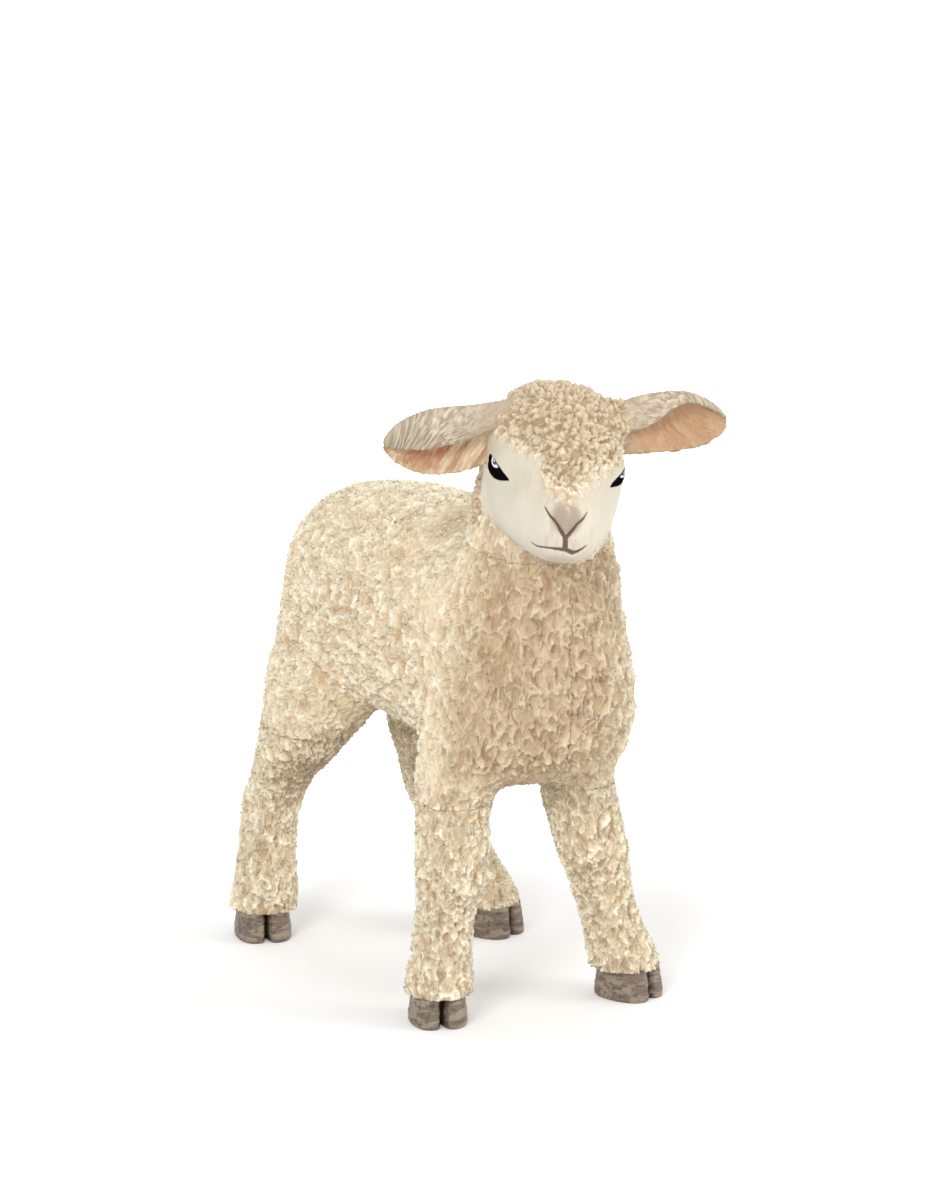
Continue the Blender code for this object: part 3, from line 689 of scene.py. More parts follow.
@dataclass(frozen=True)
class HeadFrame:
    """Axes of the head: lateral to the lamb's left, ahead and up, from its middle."""

    middle: Triple = (-0.37, -13.62, 42.30)
    lateral: Triple = (0.934, -0.342, -0.106)

    def basis(self) -> np.ndarray:
        """Unit axes as rows: lateral, ahead, up."""
        side = np.array(self.lateral) / np.linalg.norm(self.lateral)
        up = np.array((0.0, 0.0, 1.0)) - side * side[2]
        up /= np.linalg.norm(up)
        ahead = np.cross(side, up)
        return np.stack((side, ahead, up))

    def world(self, *spots: Sequence[float]) -> np.ndarray:
        """Turn spots in the head's axes into places of the lamb."""
        return np.array(self.middle) + np.array(spots, float) @ self.basis()

    def local(self, points: np.ndarray) -> np.ndarray:
        """Turn places of the lamb into the head's axes."""
        return (points - np.array(self.middle)) @ self.basis().T


@dataclass(frozen=True)
class Almond:
    """Outline of an eye seen from the side, from its back upper corner to its front one."""

    back: tuple[Triple, Triple] = ((-4.8, 0.78, 1.14), (4.8, 1.20, 1.20))
    front: tuple[Triple, Triple] = ((-4.8, 3.75, -0.04), (4.8, 4.75, 0.22))
    edges: tuple[tuple[float, ...], ...] = (
        (0.00, 0.00, 0.00, 0.00, 0.00),
        (0.03, -0.05, 0.50, -0.07, 0.22),
        (0.08, -0.10, 0.80, -0.12, 0.42),
        (0.22, -0.25, 0.94, -0.18, 0.60),
        (0.45, -0.35, 0.90, -0.13, 0.73),
        (0.58, -0.34, 0.81, -0.05, 0.66),
        (0.70, -0.25, 0.67, 0.03, 0.51),
        (0.86, -0.11, 0.36, 0.04, 0.27),
        (1.00, 0.00, 0.00, 0.00, 0.00),
    )
    depth: float = 2.5

    def axes(self, head: HeadFrame, side: Side) -> tuple[np.ndarray, np.ndarray, float]:
        """Find where the almond lies.

        Args:
            head: Axes of the head.
            side: Which eye.

        Returns:
            Its back corner, its axes as rows (along, down across, outwards) and its length.
        """
        pick = int(side is Side.LEFT)
        one, two = head.world(self.back[pick], self.front[pick])
        length = float(np.linalg.norm(two - one))
        along = (two - one) / length
        out = head.basis()[0] * side.value
        across = np.cross(along, out) * -side.value
        return one, np.stack((along, across, out)), length

    def span(self, share: np.ndarray, side: Side) -> tuple[np.ndarray, np.ndarray]:
        """Middle and half width at shares of the length."""
        first = 2 * int(side is Side.LEFT)
        top, bottom = eased(self.edges, np.clip(share, 0.0, 1.0)).T[first : first + 2]
        return (bottom + top) / 2, (bottom - top) / 2

    def gap(self, points: np.ndarray, head: HeadFrame, side: Side) -> np.ndarray:
        """Rough distance from points to the outline, below 0 inside it."""
        corner, axes, length = self.axes(head, side)
        along, across, out = ((points - corner) @ axes.T).T
        middle, half = self.span(along / length, side)
        inside = np.abs(across - middle) - half
        beyond = np.maximum(np.abs(along / length - 0.5) - 0.5, 0.0) * length
        gap = np.where(
            (inside < 0) & (beyond <= 0), inside, np.hypot(beyond, np.maximum(inside, 0.0))
        )
        return np.where(np.abs(out) > self.depth, FAR_OFF, gap)


# Patterns, read alike by the trees that raise them and by the paints


@dataclass(frozen=True)
class WoolPattern:
    """Kinds of wool and their scales: winding crests, hanging folds and tight knots."""

    flank: float = 0.95
    chest: float = 1.30
    legs: float = 1.55
    nape: float = 1.40
    cap: float = 2.50
    drops: float = 0.70
    rim: float = 0.15

    def kinds(self, graph: Any, spot: Signal) -> dict[str, tuple[Signal, Signal]]:
        """Lay out each kind of wool.

        Args:
            graph: Tree of a material or of geometry.
            spot: Place in millimetres.

        Returns:
            For each kind its relief, 0 to 1, and where it lies, 0 to 1.
        """
        wander = graph.warped(spot, 0.9, 0.9)
        hanging = graph.drawn_out(wander, (0.0, 0.0, 1.0), 2.3)
        swept = graph.drawn_out(wander, (0.15, 0.75, -0.65), 2.4)
        laid = {
            "Chest": (self._drops(graph, hanging), graph.mask("chest")),
            "Leg": (self._curls(graph, hanging, self.legs), graph.mask("legs")),
            "Nape": (self._curls(graph, swept, self.nape), graph.mask("nape")),
            "Cap": (self._knots(graph, graph.warped(spot, 1.6, 0.7)), graph.mask("cap")),
        }
        rest = 1.0 - graph.mask("face")
        for _, weight in laid.values():
            rest = rest - weight
        return {"Flank": (self._curls(graph, wander, self.flank), rest), **laid}

    def relief(self, graph: Any, spot: Signal) -> Signal:
        """Relief of all kinds together, 0 to 1."""
        first, *others = (relief * share for relief, share in self.kinds(graph, spot).values())
        return sum(others, start=first)

    def _curls(self, graph: Any, spot: Signal, scale: float) -> Signal:
        """Crisp winding crests of two sizes, with smooth dimples and small pits between."""
        level = graph.noise(spot, scale) - 0.5
        broad = (1.0 - abs(level) / self.rim).larger(0.0)
        fine = (1.0 - graph.off_line(spot, scale * 2.0, self.rim, 7.0)).larger(0.0)
        crisp = abs(level).eased(self.rim * 0.34, self.rim * 0.06)
        pits = level.eased(-0.09, -0.22)
        total = broad * broad * 0.38 + crisp * 0.24 + fine * fine * 0.22
        return total - pits * 0.16 + 0.13

    def _drops(self, graph: Any, spot: Signal) -> Signal:
        """Curls that lie on long hanging folds."""
        folds = (1.0 - graph.off_line(spot, self.drops, self.rim * 0.7, 11.0)).larger(0.0)
        return self._curls(graph, spot, self.chest) * 0.76 + folds * folds * 0.28

    def _knots(self, graph: Any, spot: Signal) -> Signal:
        """Tight little curls, packed as knobs with crests on them."""
        long = graph.drawn_out(spot, (0.1, 0.5, -0.85), 2.2)
        knobs = graph.cells(long, self.cap).eased(0.74, 0.18)
        fine = (1.0 - graph.off_line(long, self.cap, self.rim, 5.0)).larger(0.0)
        return knobs * 0.66 + fine * fine * 0.34


@dataclass(frozen=True)
class EarPattern:
    """Combed hair outside an ear and slanted ridges inside it."""

    hair_scale: float = 5.4
    ridge_scale: float = 1.25

    def hair(self, graph: Graph, flow: Signal) -> Signal:
        """Strokes of hair, 0 to 1."""
        combed = graph.drawn_out(graph.warped(flow, 0.7, 0.8), (1.0, 0.8, 0.0), 4.5)
        strokes = graph.noise(combed, self.hair_scale, 2.0).eased(0.36, 0.64) * 0.6
        strokes = strokes + graph.ridges(combed, self.hair_scale * 0.6, 0.08, 6.0) * 0.4
        return strokes * graph.mask("haired") + (1.0 - graph.mask("haired")) * 0.34

    def ridge(self, graph: Graph, flow: Signal) -> Signal:
        """Slanted ridges, 0 to 1."""
        slanted = graph.drawn_out(graph.warped(flow, 0.6, 0.4), (0.55, -1.0, 0.0), 5.0)
        broad = graph.noise(slanted, self.ridge_scale).eased(0.44, 0.62)
        fine = graph.noise(slanted, self.ridge_scale * 3.2, 2.0).eased(0.38, 0.64)
        return broad * 0.55 + fine * 0.45


# Finishes


@dataclass(frozen=True)
class WoolPaint:
    """Matt vinyl wool: dark wash and painted shade in the hollows, pale dry brush on the curls."""

    deep: Colour = paint(152, 128, 98)
    hollow: Colour = paint(204, 178, 143)
    wash: Colour = paint(229, 210, 178)
    cream: Colour = paint(244, 229, 200)
    brush: Colour = paint(255, 246, 222)
    blush: Colour = paint(226, 192, 162)
    stain: Colour = paint(176, 144, 122)
    roughness: float = 0.60
    gloss: float = 0.0
    bump: tuple[float, float] = (0.22, 1.0)
    stops: tuple[float, ...] = (0.04, 0.20, 0.44, 0.74)
    grain: float = 0.06
    cap_wash_and_shade: float = 0.56
    deep_wash_and_shade: float = 0.9
    stain_and_shade_wash: float = 0.70
    stain_and_shade_share: float = 0.45
    blush_share: float = 0.25
    pattern: WoolPattern = WoolPattern()

    def relief(self, graph: ShaderGraph) -> Signal:
        """Relief of the wool, read where it lay before it was raised."""
        return self.pattern.relief(graph, graph.lane("rest"))

    def colour(self, graph: ShaderGraph, relief: Signal) -> Signal:
        """Paint of the wool from its relief, with a wandering tint, and painted shade on the
        chest, beneath the belly and over the cap.
        """
        spot = graph.spot()
        relief = relief + (graph.noise(spot, 2.5, 2.0) - 0.5) * self.grain
        # Darker in the hollows: a real wash with painted shade over it.
        tones = (self.hollow, self.wash, self.cream, self.brush)
        tone = graph.ramp(relief, tuple(zip(self.stops, tones)))
        cap = graph.mask("cap") * graph.mask("crown")
        # Painted shade in the hollows, deepest on the cap, then on the chest, belly and chin, then
        # on the legs.
        thick = cap + graph.mask("stain") * 0.60 + graph.mask("legs") * 0.25
        tone = graph.blend(thick * relief.eased(0.42, 0.02) * self.deep_wash_and_shade, tone, self.deep)
        # The cap is darkened towards the hollow colour, most towards the top of the head: a tan
        # tint with painted shade over it.
        tone = graph.blend(cap * self.cap_wash_and_shade, tone, self.hollow)
        drift = graph.noise(spot, 0.22, 2.0).eased(0.52, 0.68)
        drift = drift * relief.eased(0.8, 0.2) * self.blush_share
        tone = graph.blend(drift, tone, self.blush)
        # The chest, belly and lower face are darkened towards the hollow colour, with brown
        # patches. On the chest this is partly a brown tint and partly painted shade, fading
        # towards the lamb's left side. Beneath the belly and on the lower face it is painted
        # shade, and on the chin a real pinkish-brown tint.
        patch = graph.mask("stain") * graph.noise(spot, 0.35, 2.0).eased(0.40, 0.62)
        tone = graph.blend(graph.mask("stain") * self.stain_and_shade_wash, tone, self.hollow)
        patch = patch * relief.eased(1.0, 0.25) * self.stain_and_shade_share
        return graph.blend(patch, tone, self.stain)

    def material(self) -> bpy.types.Material:
        """Material of the wool."""
        graph = ShaderGraph("fleece_paint")
        graph.finish(self.roughness, self.gloss)
        relief = self.relief(graph)
        graph.colour(self.colour(graph, relief))
        graph.raise_bump(relief + graph.noise(graph.spot(), 6.0, 2.0) * 0.04, *self.bump)
        return graph.material


@dataclass(frozen=True)
class FacePaint:
    """Smooth painted face below a cap of wool, with brown lines drawn by brush."""

    wool: WoolPaint = WoolPaint()
    skin: Colour = paint(227, 219, 202)
    shade: Colour = paint(214, 205, 185)
    eye_socket_shade: Colour = paint(208, 202, 181)
    nose: Colour = paint(154, 140, 121)
    chin: Colour = paint(186, 163, 144)
    line: Colour = paint(88, 62, 48)
    lid: Colour = paint(120, 108, 98)
    roughness: float = 0.55
    gloss: float = 0.35
    bump: tuple[float, float] = (0.17, 0.9)
    hair_share: float = 0.16
    cloud_share: float = 0.35
    eye_socket_shade_share: float = 0.55
    chin_share: float = 0.35
    nose_share: float = 0.85
    stain_and_shade_share: float = 0.55
    lid_share: float = 0.6
    line_share: float = 0.92
    line_soft: float = 0.035
    wobble: float = 0.08

    def material(self) -> bpy.types.Material:
        """Material of the head."""
        graph = ShaderGraph("face_paint")
        graph.finish(self.roughness, self.gloss)
        spot = graph.spot()
        hairs = self._hairs(graph, 5.0, 3.4)
        cloud = graph.noise(spot, 0.35, 2.0)
        skin = graph.blend(hairs.eased(0.55, 0.35) * self.hair_share, self.skin, self.shade)
        skin = graph.blend(cloud.eased(0.5, 0.75) * self.cloud_share, skin, self.shade)
        # Painted shade round the eyes, in a greenish grey.
        eye_socket_shade = graph.mask("eye_gap").eased(3.4, 0.2) * self.eye_socket_shade_share
        skin = graph.blend(eye_socket_shade, skin, self.eye_socket_shade)
        strokes = self._hairs(graph, 3.5, 2.6)
        muzzle = graph.mask("muzzle") * strokes.eased(0.54, 0.36) * self.chin_share
        skin = graph.blend(muzzle, skin, self.chin)
        skin = graph.blend(graph.mask("nose") * self.nose_share, skin, self.nose)
        # On the chin a real pinkish-brown tint. Lower on the face, where the chest's mask reaches
        # up, painted shade.
        skin = graph.blend(graph.mask("stain") * self.stain_and_shade_share, skin, self.chin)
        lid = graph.mask("eye_gap").eased(0.07, 0.0) * self.lid_share
        skin = graph.blend(lid, skin, self.lid)
        face = graph.mask("face")
        relief = self.wool.relief(graph)
        tone = graph.blend(face, self.wool.colour(graph, relief), skin)
        wobble = (graph.noise(spot, 2.6, 2.0) - 0.5) * self.wobble
        stroke = (graph.mask("line_gap") + wobble).eased(self.line_soft, -self.line_soft)
        graph.colour(graph.blend(stroke * self.line_share, tone, self.line))
        fine = self._hairs(graph, 4.0, 5.0) * (face * 0.3 + 0.1)
        graph.raise_bump(relief * (1.0 - face * 0.8) + fine, *self.bump)
        return graph.material

    @staticmethod
    def _hairs(graph: ShaderGraph, length: float, scale: float) -> Signal:
        """Noise of upright strokes, so many times longer than wide."""
        drawn = graph.drawn_out(graph.lane("hair"), (0.0, 1.0, 0.0), length)
        return graph.noise(drawn, scale, 2.0)


@dataclass(frozen=True)
class EarPaint:
    """Cream hair outside an ear and tan ridges with a rubbed pink patch inside it."""

    groove: Colour = paint(168, 149, 127)
    hair: Colour = paint(192, 176, 152)
    tip: Colour = paint(222, 209, 187)
    hollow: Colour = paint(188, 150, 114)
    tan: Colour = paint(208, 175, 139)
    ridge: Colour = paint(234, 212, 180)
    pink: Colour = paint(210, 130, 106)
    roughness: float = 0.58
    gloss: float = 0.35
    bump: tuple[float, float] = (0.10, 0.6)
    pink_share: float = 0.9
    shade_share: float = 0.8
    pattern: EarPattern = EarPattern()

    def material(self) -> bpy.types.Material:
        """Material of an ear."""
        graph = ShaderGraph("ear_paint")
        graph.finish(self.roughness, self.gloss)
        spot, flow = graph.spot(), graph.lane("rest")
        hair, ridge = self.pattern.hair(graph, flow), self.pattern.ridge(graph, flow)
        outside = graph.ramp(hair, ((0.05, self.groove), (0.38, self.hair), (0.90, self.tip)))
        tan = graph.ramp(ridge, ((0.05, self.hollow), (0.40, self.tan), (0.90, self.ridge)))
        patch = graph.mask("blush") * graph.noise(spot, 0.8, 2.0).eased(0.2, 0.5)
        patch = patch * ridge.eased(1.3, 0.3) * self.pink_share
        tan = graph.blend(patch, tan, self.pink)
        # Painted shade: the inside of the left ear is darkened towards the hollow colour.
        tan = graph.blend(graph.mask("shade") * self.shade_share, tan, self.hollow)
        inside = graph.mask("inside")
        graph.colour(graph.blend(inside, outside, tan))
        graph.raise_bump(hair * (1.0 - inside) + ridge * inside, *self.bump)
        return graph.material


@dataclass(frozen=True)
class HoofPaint:
    """Taupe horn with rings of growth and a dark wash in the cleft."""

    horn: Colour = paint(122, 107, 92)
    light: Colour = paint(172, 157, 138)
    dark: Colour = paint(70, 56, 45)
    roughness: float = 0.46
    gloss: float = 0.4
    bump: tuple[float, float] = (0.04, 0.5)
    ring_share: float = 0.6

    def material(self) -> bpy.types.Material:
        """Material of a hoof."""
        graph = ShaderGraph("hoof_paint")
        graph.finish(self.roughness, self.gloss)
        spot = graph.spot()
        drawn = graph.drawn_out(graph.warped(spot, 0.8, 0.5), (1.0, 0.2, 0.0), 9.0)
        bands = graph.noise(drawn, 3.2, 2.0)
        rings = graph.mask("relief").eased(0.35, 0.8) * self.ring_share
        tone = graph.blend(rings, self.horn, self.light)
        tone = graph.blend(bands.eased(0.52, 0.34) * self.ring_share, tone, self.dark)
        tone = graph.blend(graph.mask("cleft").eased(0.15, 0.75), tone, self.dark)
        graph.colour(tone)
        graph.raise_bump(graph.noise(spot, 5.0, 3.0), *self.bump)
        return graph.material


@dataclass(frozen=True)
class EyePaintedGloss:
    """Black with no gloss of its own, and a painted highlight and reflection."""

    black: Colour = paint(14, 13, 15)
    glint: Colour = paint(245, 246, 248)
    reflected_haze: Colour = paint(96, 98, 104)
    roughness: float = 0.24
    gloss: float = 0.0
    glint_ring_radius: float = 0.21
    reflected_haze_share: float = 0.6

    def material(self) -> bpy.types.Material:
        """Material of an eye, which reads where it is in its almond."""
        graph = ShaderGraph("eye_gloss")
        graph.finish(self.roughness, self.gloss)
        lane = graph.lane("lens")
        # Painted highlight and reflection: a ring and a dot of glint over a grey reflected sheen,
        # since the surface itself reflects nothing.
        shift = graph.vector("MULTIPLY", lane, (1.35, 1.0, 1.0))
        away = graph.vector("LENGTH", shift, key="Value")
        lower = graph.vector("DOT_PRODUCT", shift, (-0.20, 0.98, 0.0), key="Value")
        ring = abs(away - self.glint_ring_radius).eased(0.09, 0.04) * lower.eased(-0.16, 0.02)
        tone = graph.blend(away.eased(0.28, 0.16) * self.reflected_haze_share, self.black, self.reflected_haze)
        tone = graph.blend(ring, tone, self.glint)
        off = graph.vector("SUBTRACT", shift, (-0.04, -0.03, 0.0))
        glint_fleck = graph.vector("LENGTH", off, key="Value").eased(0.09, 0.04)
        graph.colour(graph.blend(glint_fleck, tone, self.glint))
        return graph.material


# Studio


@dataclass(frozen=True)
class PhotoCamera:
    """Camera with the viewing angle of the photograph, which is 938 by 1200."""

    azimuth: float = -28.0
    elevation: float = 14.5
    distance: float = 520.0
    aim: Triple = (-0.83, -1.45, 30.0)
    lens: float = 210.6
    sensor: float = 36.0
    clip: tuple[float, float] = (0.01, 20.0)

    def build(self) -> None:
        """Add the camera and make it the scene's."""
        data = bpy.data.cameras.new("photo_camera")
        data.lens = self.lens
        data.sensor_width = self.sensor
        data.sensor_fit = "AUTO"
        data.clip_start, data.clip_end = self.clip
        az, el = math.radians(self.azimuth), math.radians(self.elevation)
        level = math.cos(el)
        back = Vector((math.sin(az) * level, -math.cos(az) * level, math.sin(el)))
        made = linked("photo_camera", data)
        made.location = (Vector(self.aim) + back * self.distance) * MM
        made.rotation_euler = back.to_track_quat("Z", "Y").to_euler()
        bpy.context.scene.camera = made


@dataclass(frozen=True)
class Studio:
    """Plain pale floor, white surround and three soft lamps."""

    floor_size: float = 3000.0
    floor_colour: Colour = paint(240, 240, 240)
    floor_roughness: float = 0.9
    fade: tuple[float, float] = (20.0, 60.0)
    fade_share: float = 0.6
    lit: Triple = (0.0, 0.0, 25.0)
    surround: float = 0.63
    whiten: float = 0.20
    lamps: tuple[tuple[str, Triple, float, float], ...] = (
        ("key", (-540.0, -480.0, 500.0), 340.0, 3.1),
        ("top", (120.0, 160.0, 900.0), 420.0, 0.8),
        ("fill", (560.0, -460.0, 300.0), 420.0, 2.1),
    )

    def build(self) -> None:
        """Set the floor, the surround and the lamps."""
        bpy.context.scene.view_settings.view_transform = "Standard"
        self._surround()
        self._floor()
        for name, place, size, power in self.lamps:
            data = bpy.data.lights.new(f"{name}_lamp", "AREA")
            data.shape = "DISK"
            data.size = size * MM
            data.energy = power
            lamp = linked(f"{name}_lamp", data)
            lamp.location = Vector(place) * MM
            back = Vector(place) - Vector(self.lit)
            lamp.rotation_euler = back.to_track_quat("Z", "Y").to_euler()

    @staticmethod
    def _seen(graph: Graph) -> Signal:
        """1 for rays that show the background, 0 for those that light things."""
        path = graph.node("ShaderNodeLightPath")
        seen = graph.out(path, "Is Camera Ray").larger(graph.out(path, "Is Glossy Ray"))
        return seen.larger(graph.out(path, "Is Transmission Ray"))

    def _surround(self) -> None:
        """White surround, which lights less than it shows."""
        world = bpy.data.worlds.new("surround")
        world.use_nodes = True
        bpy.context.scene.world = world
        graph = Graph(world.node_tree)
        level = self._seen(graph) * (1.0 - self.surround) + self.surround
        sky = world.node_tree.nodes["Background"]
        graph.feed(sky, "Color", WHITE)
        graph.feed(sky, "Strength", level)

    def _floor(self) -> None:
        """Pale floor that keeps the lamb's shadow and fades to white."""
        half = self.floor_size / 2
        corners = ((-half, -half, 0), (half, -half, 0), (half, half, 0), (-half, half, 0))
        floor = object_from("studio_floor", corners, [(0, 1, 2, 3)])
        graph = ShaderGraph("floor_paper")
        graph.finish(self.floor_roughness, 0.0)
        graph.colour(self.floor_colour)
        away = graph.vector("LENGTH", graph.spot(), key="Value")
        level = away.eased(*self.fade) * self.fade_share + self.whiten
        glow = graph.node("ShaderNodeEmission", None, {"Color": WHITE})
        plain = graph.shader.outputs[0]
        both = graph.node("ShaderNodeAddShader", None, {0: plain, 1: glow.outputs[0]})
        values = {0: self._seen(graph) * level, 1: plain, 2: both.outputs[0]}
        mixed = graph.node("ShaderNodeMixShader", None, values)
        end = graph.tree.nodes["Material Output"]
        graph.feed(end, "Surface", mixed.outputs[0])
        floor.data.materials.append(graph.material)


# The lamb


@dataclass
class LambSkin:
    """One skin melted over body, head and legs, with masks for its wool."""

    head: HeadFrame = field(default_factory=HeadFrame)
    almond: Almond = field(default_factory=Almond)
    voxel: float = 0.205
    swell: float = 0.20
    cuff_height: float = 2.3
    cuff_drop: float = 1.5
    passes: int = 30
    face_passes: int = 34
    head_radius: float = 7.0
    mouldings: tuple[str, ...] = (
        "torso_left",
        "torso_right",
        "head",
        *(f"{part}_{side}" for part in PAIRED for side in ("left", "right")),
    )
    ear_pegs: tuple[tuple[str, float], ...] = (("ear_right", -5.0), ("ear_left", 4.6))
    cap_border: tuple[Span, ...] = (
        (-180.0, 40.0),
        (-120.0, 44.0),
        (-97.0, 40.0),
        (-89.0, 32.0),
        (-79.0, 28.0),
        (-64.0, 27.0),
        (-37.0, 22.0),
        (-20.0, 20.0),
        (-16.0, 5.0),
        (-7.0, 0.0),
        (-1.0, -2.0),
        (7.0, 4.0),
        (19.0, 11.0),
        (43.0, 12.0),
        (62.0, 18.0),
        (90.0, 26.0),
        (98.0, 36.0),
        (120.0, 44.0),
        (180.0, 40.0),
    )
    jaw_border: tuple[Span, ...] = (
        (-180.0, -10.0),
        (-120.0, -16.0),
        (-108.0, -35.0),
        (-94.0, -44.0),
        (-72.0, -53.0),
        (-56.0, -60.0),
        (-42.0, -66.0),
        (-21.0, -73.0),
        (-4.0, -76.0),
        (3.0, -55.0),
        (8.0, -36.0),
        (13.0, -27.0),
        (27.0, -27.0),
        (45.0, -31.0),
        (60.0, -37.0),
        (80.0, -43.0),
        (95.0, -43.0),
        (108.0, -35.0),
        (120.0, -16.0),
        (180.0, -10.0),
    )
    touches: tuple[tuple[Triple, float, Triple], ...] = (
        ((3.8, 3.9, -0.3), 1.7, (-0.50, 0.0, 0.0)),
        ((4.8, 0.9, 0.8), 1.5, (0.15, 0.0, 0.0)),
        ((4.2, 3.0, 2.1), 1.2, (0.20, 0.15, 0.0)),
        ((2.9, 6.9, -1.0), 1.5, (-0.35, 0.0, 0.0)),
        ((1.4, 8.9, -2.9), 1.1, (0.0, 0.15, 0.0)),
        ((0.0, 8.8, -5.2), 1.1, (0.0, 0.22, 0.0)),
        ((0.0, 0.0, 6.2), 3.6, (0.0, 0.0, -0.30)),
    )
    nose_middle: float = -0.31
    cap_reach: Span = (9.2, 7.6)
    cap_floor: Span = (36.8, 38.6)
    chest_front: Span = (-5.5, -9.5)
    chest_floor: Span = (17.5, 20.5)
    leg_top: Span = (20.5, 16.5)
    nape_middle: Triple = (0.2, -8.5, 36.0)
    nape_reach: Span = (11.0, 6.5)
    stain_and_shade_front: Span = (-9.0, -13.0)
    stain_and_shade_top: Span = (42.0, 34.0)
    stain_and_shade_floor: Span = (16.0, 19.0)
    stain_and_shade_side: Span = (8.0, 3.0)
    belly_top: Span = (22.0, 18.5)
    chin_middle: Triple = (-0.2, 8.2, -4.9)
    muzzle_middle: Triple = (-0.3, 9.0, -2.4)
    nostril: tuple[Triple, ...] = (
        (1.52, -0.80, 0.05),
        (1.24, -1.18, 0.08),
        (0.79, -1.58, 0.10),
        (0.40, -2.12, 0.12),
        (0.00, -2.66, 0.16),
    )
    lip_cleft: tuple[Triple, ...] = ((-0.31, -2.60, 0.19), (-0.20, -3.55, 0.19))
    mouth: tuple[Triple, ...] = (
        (-2.36, -3.70, 0.04),
        (-2.05, -3.81, 0.07),
        (-1.42, -3.66, 0.09),
        (-0.18, -3.60, 0.16),
        (0.37, -3.80, 0.17),
        (0.86, -3.62, 0.11),
        (1.34, -3.22, 0.04),
    )

    def build(self) -> bpy.types.Object:
        """Melt the skin and store its masks.

        Returns:
            The skin, not yet laid with wool.
        """
        skin = self._melted()
        self._largest_island(skin)
        self._ease(skin)
        refine(skin)
        self._store_masks(skin)
        return skin

    def _moulding(self, name: str) -> bmesh.types.BMesh:
        """Copy a moulding, joined up and swollen over the gaps at its joints."""
        form = form_of(frame["nodes"][name].data, weld=True)
        form.normal_update()
        moves = [vert.normal * (self.swell * MM) for vert in form.verts]
        for vert, move in zip(form.verts, moves):
            low = "leg" in name and abs(vert.co.z / MM - self.cuff_height) < 0.05
            vert.co += move
            if low:
                vert.co.z -= self.cuff_drop * MM
        return form

    def _melted(self) -> bpy.types.Object:
        """Melt the mouldings and the roots of the ears into one skin."""
        joined = bmesh.new()
        for name in self.mouldings:
            self._join(joined, self._moulding(name))
        for name, cut in self.ear_pegs:
            form = self._moulding(name)
            at = Vector((cut * MM, 0.0, 0.0))
            out = Vector((math.copysign(1.0, cut), 0.0, 0.0))
            geom = [*form.verts, *form.edges, *form.faces]
            bmesh.ops.bisect_plane(form, geom=geom, plane_co=at, plane_no=out, clear_outer=True)
            bmesh.ops.holes_fill(form, edges=form.edges)
            self._join(joined, form)
        skin = linked("lamb_skin", write(joined, bpy.data.meshes.new("lamb_skin")))
        melt(skin, self.voxel)
        return skin

    @staticmethod
    def _join(joined: bmesh.types.BMesh, form: bmesh.types.BMesh) -> None:
        """Add a form to the joined ones and free it."""
        part = write(form, bpy.data.meshes.new("part"))
        joined.from_mesh(part)
        bpy.data.meshes.remove(part)

    @staticmethod
    def _largest_island(skin: bpy.types.Object) -> None:
        """Drop the closed hollows left inside the skin."""
        one, two = edges_of(skin.data).T
        label = np.arange(len(skin.data.vertices))
        while True:
            low = np.minimum(label[one], label[two])
            before = label.copy()
            np.minimum.at(label, one, low)
            np.minimum.at(label, two, low)
            label = label[label]
            if (label == before).all():
                break
        names, counts = np.unique(label, return_counts=True)
        keep = label == names[counts.argmax()]
        form = form_of(skin.data)
        loose = [vert for vert, kept in zip(form.verts, keep) if not kept]
        bmesh.ops.delete(form, geom=loose, context="VERTS")
        write(form, skin.data)
        LOG.info("skin: %d points in %d shells, largest kept", len(label), len(names))

    def _ease(self, skin: bpy.types.Object) -> None:
        """Take the facets and the swelling out of the skin."""
        mesh = skin.data
        points = points_of(mesh) - normals_of(mesh) * self.swell
        edges = edges_of(mesh)
        points = relaxed(points, edges, self.passes)
        face = self._face_share(points)
        points = relaxed(points, edges, self.face_passes, 0.5 * face)
        spots, basis = self.head.local(points), self.head.basis()
        for side in Side:
            turn = np.array((side.value, 1.0, 1.0))
            for centre, reach, push in self.touches:
                away = np.linalg.norm(spots - np.array(centre) * turn, axis=1) / reach
                share = np.exp(-(away**2))[:, None] * (0.5 if centre[0] == 0.0 else 1.0)
                points = points + share * ((np.array(push) * turn) @ basis)
        move_points(mesh, points)

    def _angles(self, points: np.ndarray) -> tuple[np.ndarray, np.ndarray]:
        """Bearing to the lamb's left and rise of points seen from the head's middle."""
        side, ahead, up = self.head.local(points).T
        bearing = np.degrees(np.arctan2(side, ahead))
        return bearing, np.degrees(np.arctan2(up, np.hypot(side, ahead)))

    def _face_share(self, points: np.ndarray) -> np.ndarray:
        """Share of bare face at points, 0 in wool."""
        bearing, rise = self._angles(points)
        cap = np.interp(bearing, *np.array(self.cap_border).T)
        jaw = np.interp(bearing, *np.array(self.jaw_border).T)
        ragged = 1.6 * np.sin(bearing * 0.83) + 1.2 * np.sin(bearing * 1.9 + 1.0)
        share = smoothstep(cap + ragged + 4.5, cap + ragged - 5.0, rise)
        share *= smoothstep(jaw - 4.0 + 2.0 * ragged, jaw + 6.0 + 2.0 * ragged, rise)
        share *= smoothstep(122.0, 112.0, np.abs(bearing))
        local = self.head.local(points)
        share *= smoothstep(12.5, 11.5, np.linalg.norm(local, axis=1))
        share *= smoothstep(-7.0, -6.3, local[:, 2] + ragged * 0.04)
        return share

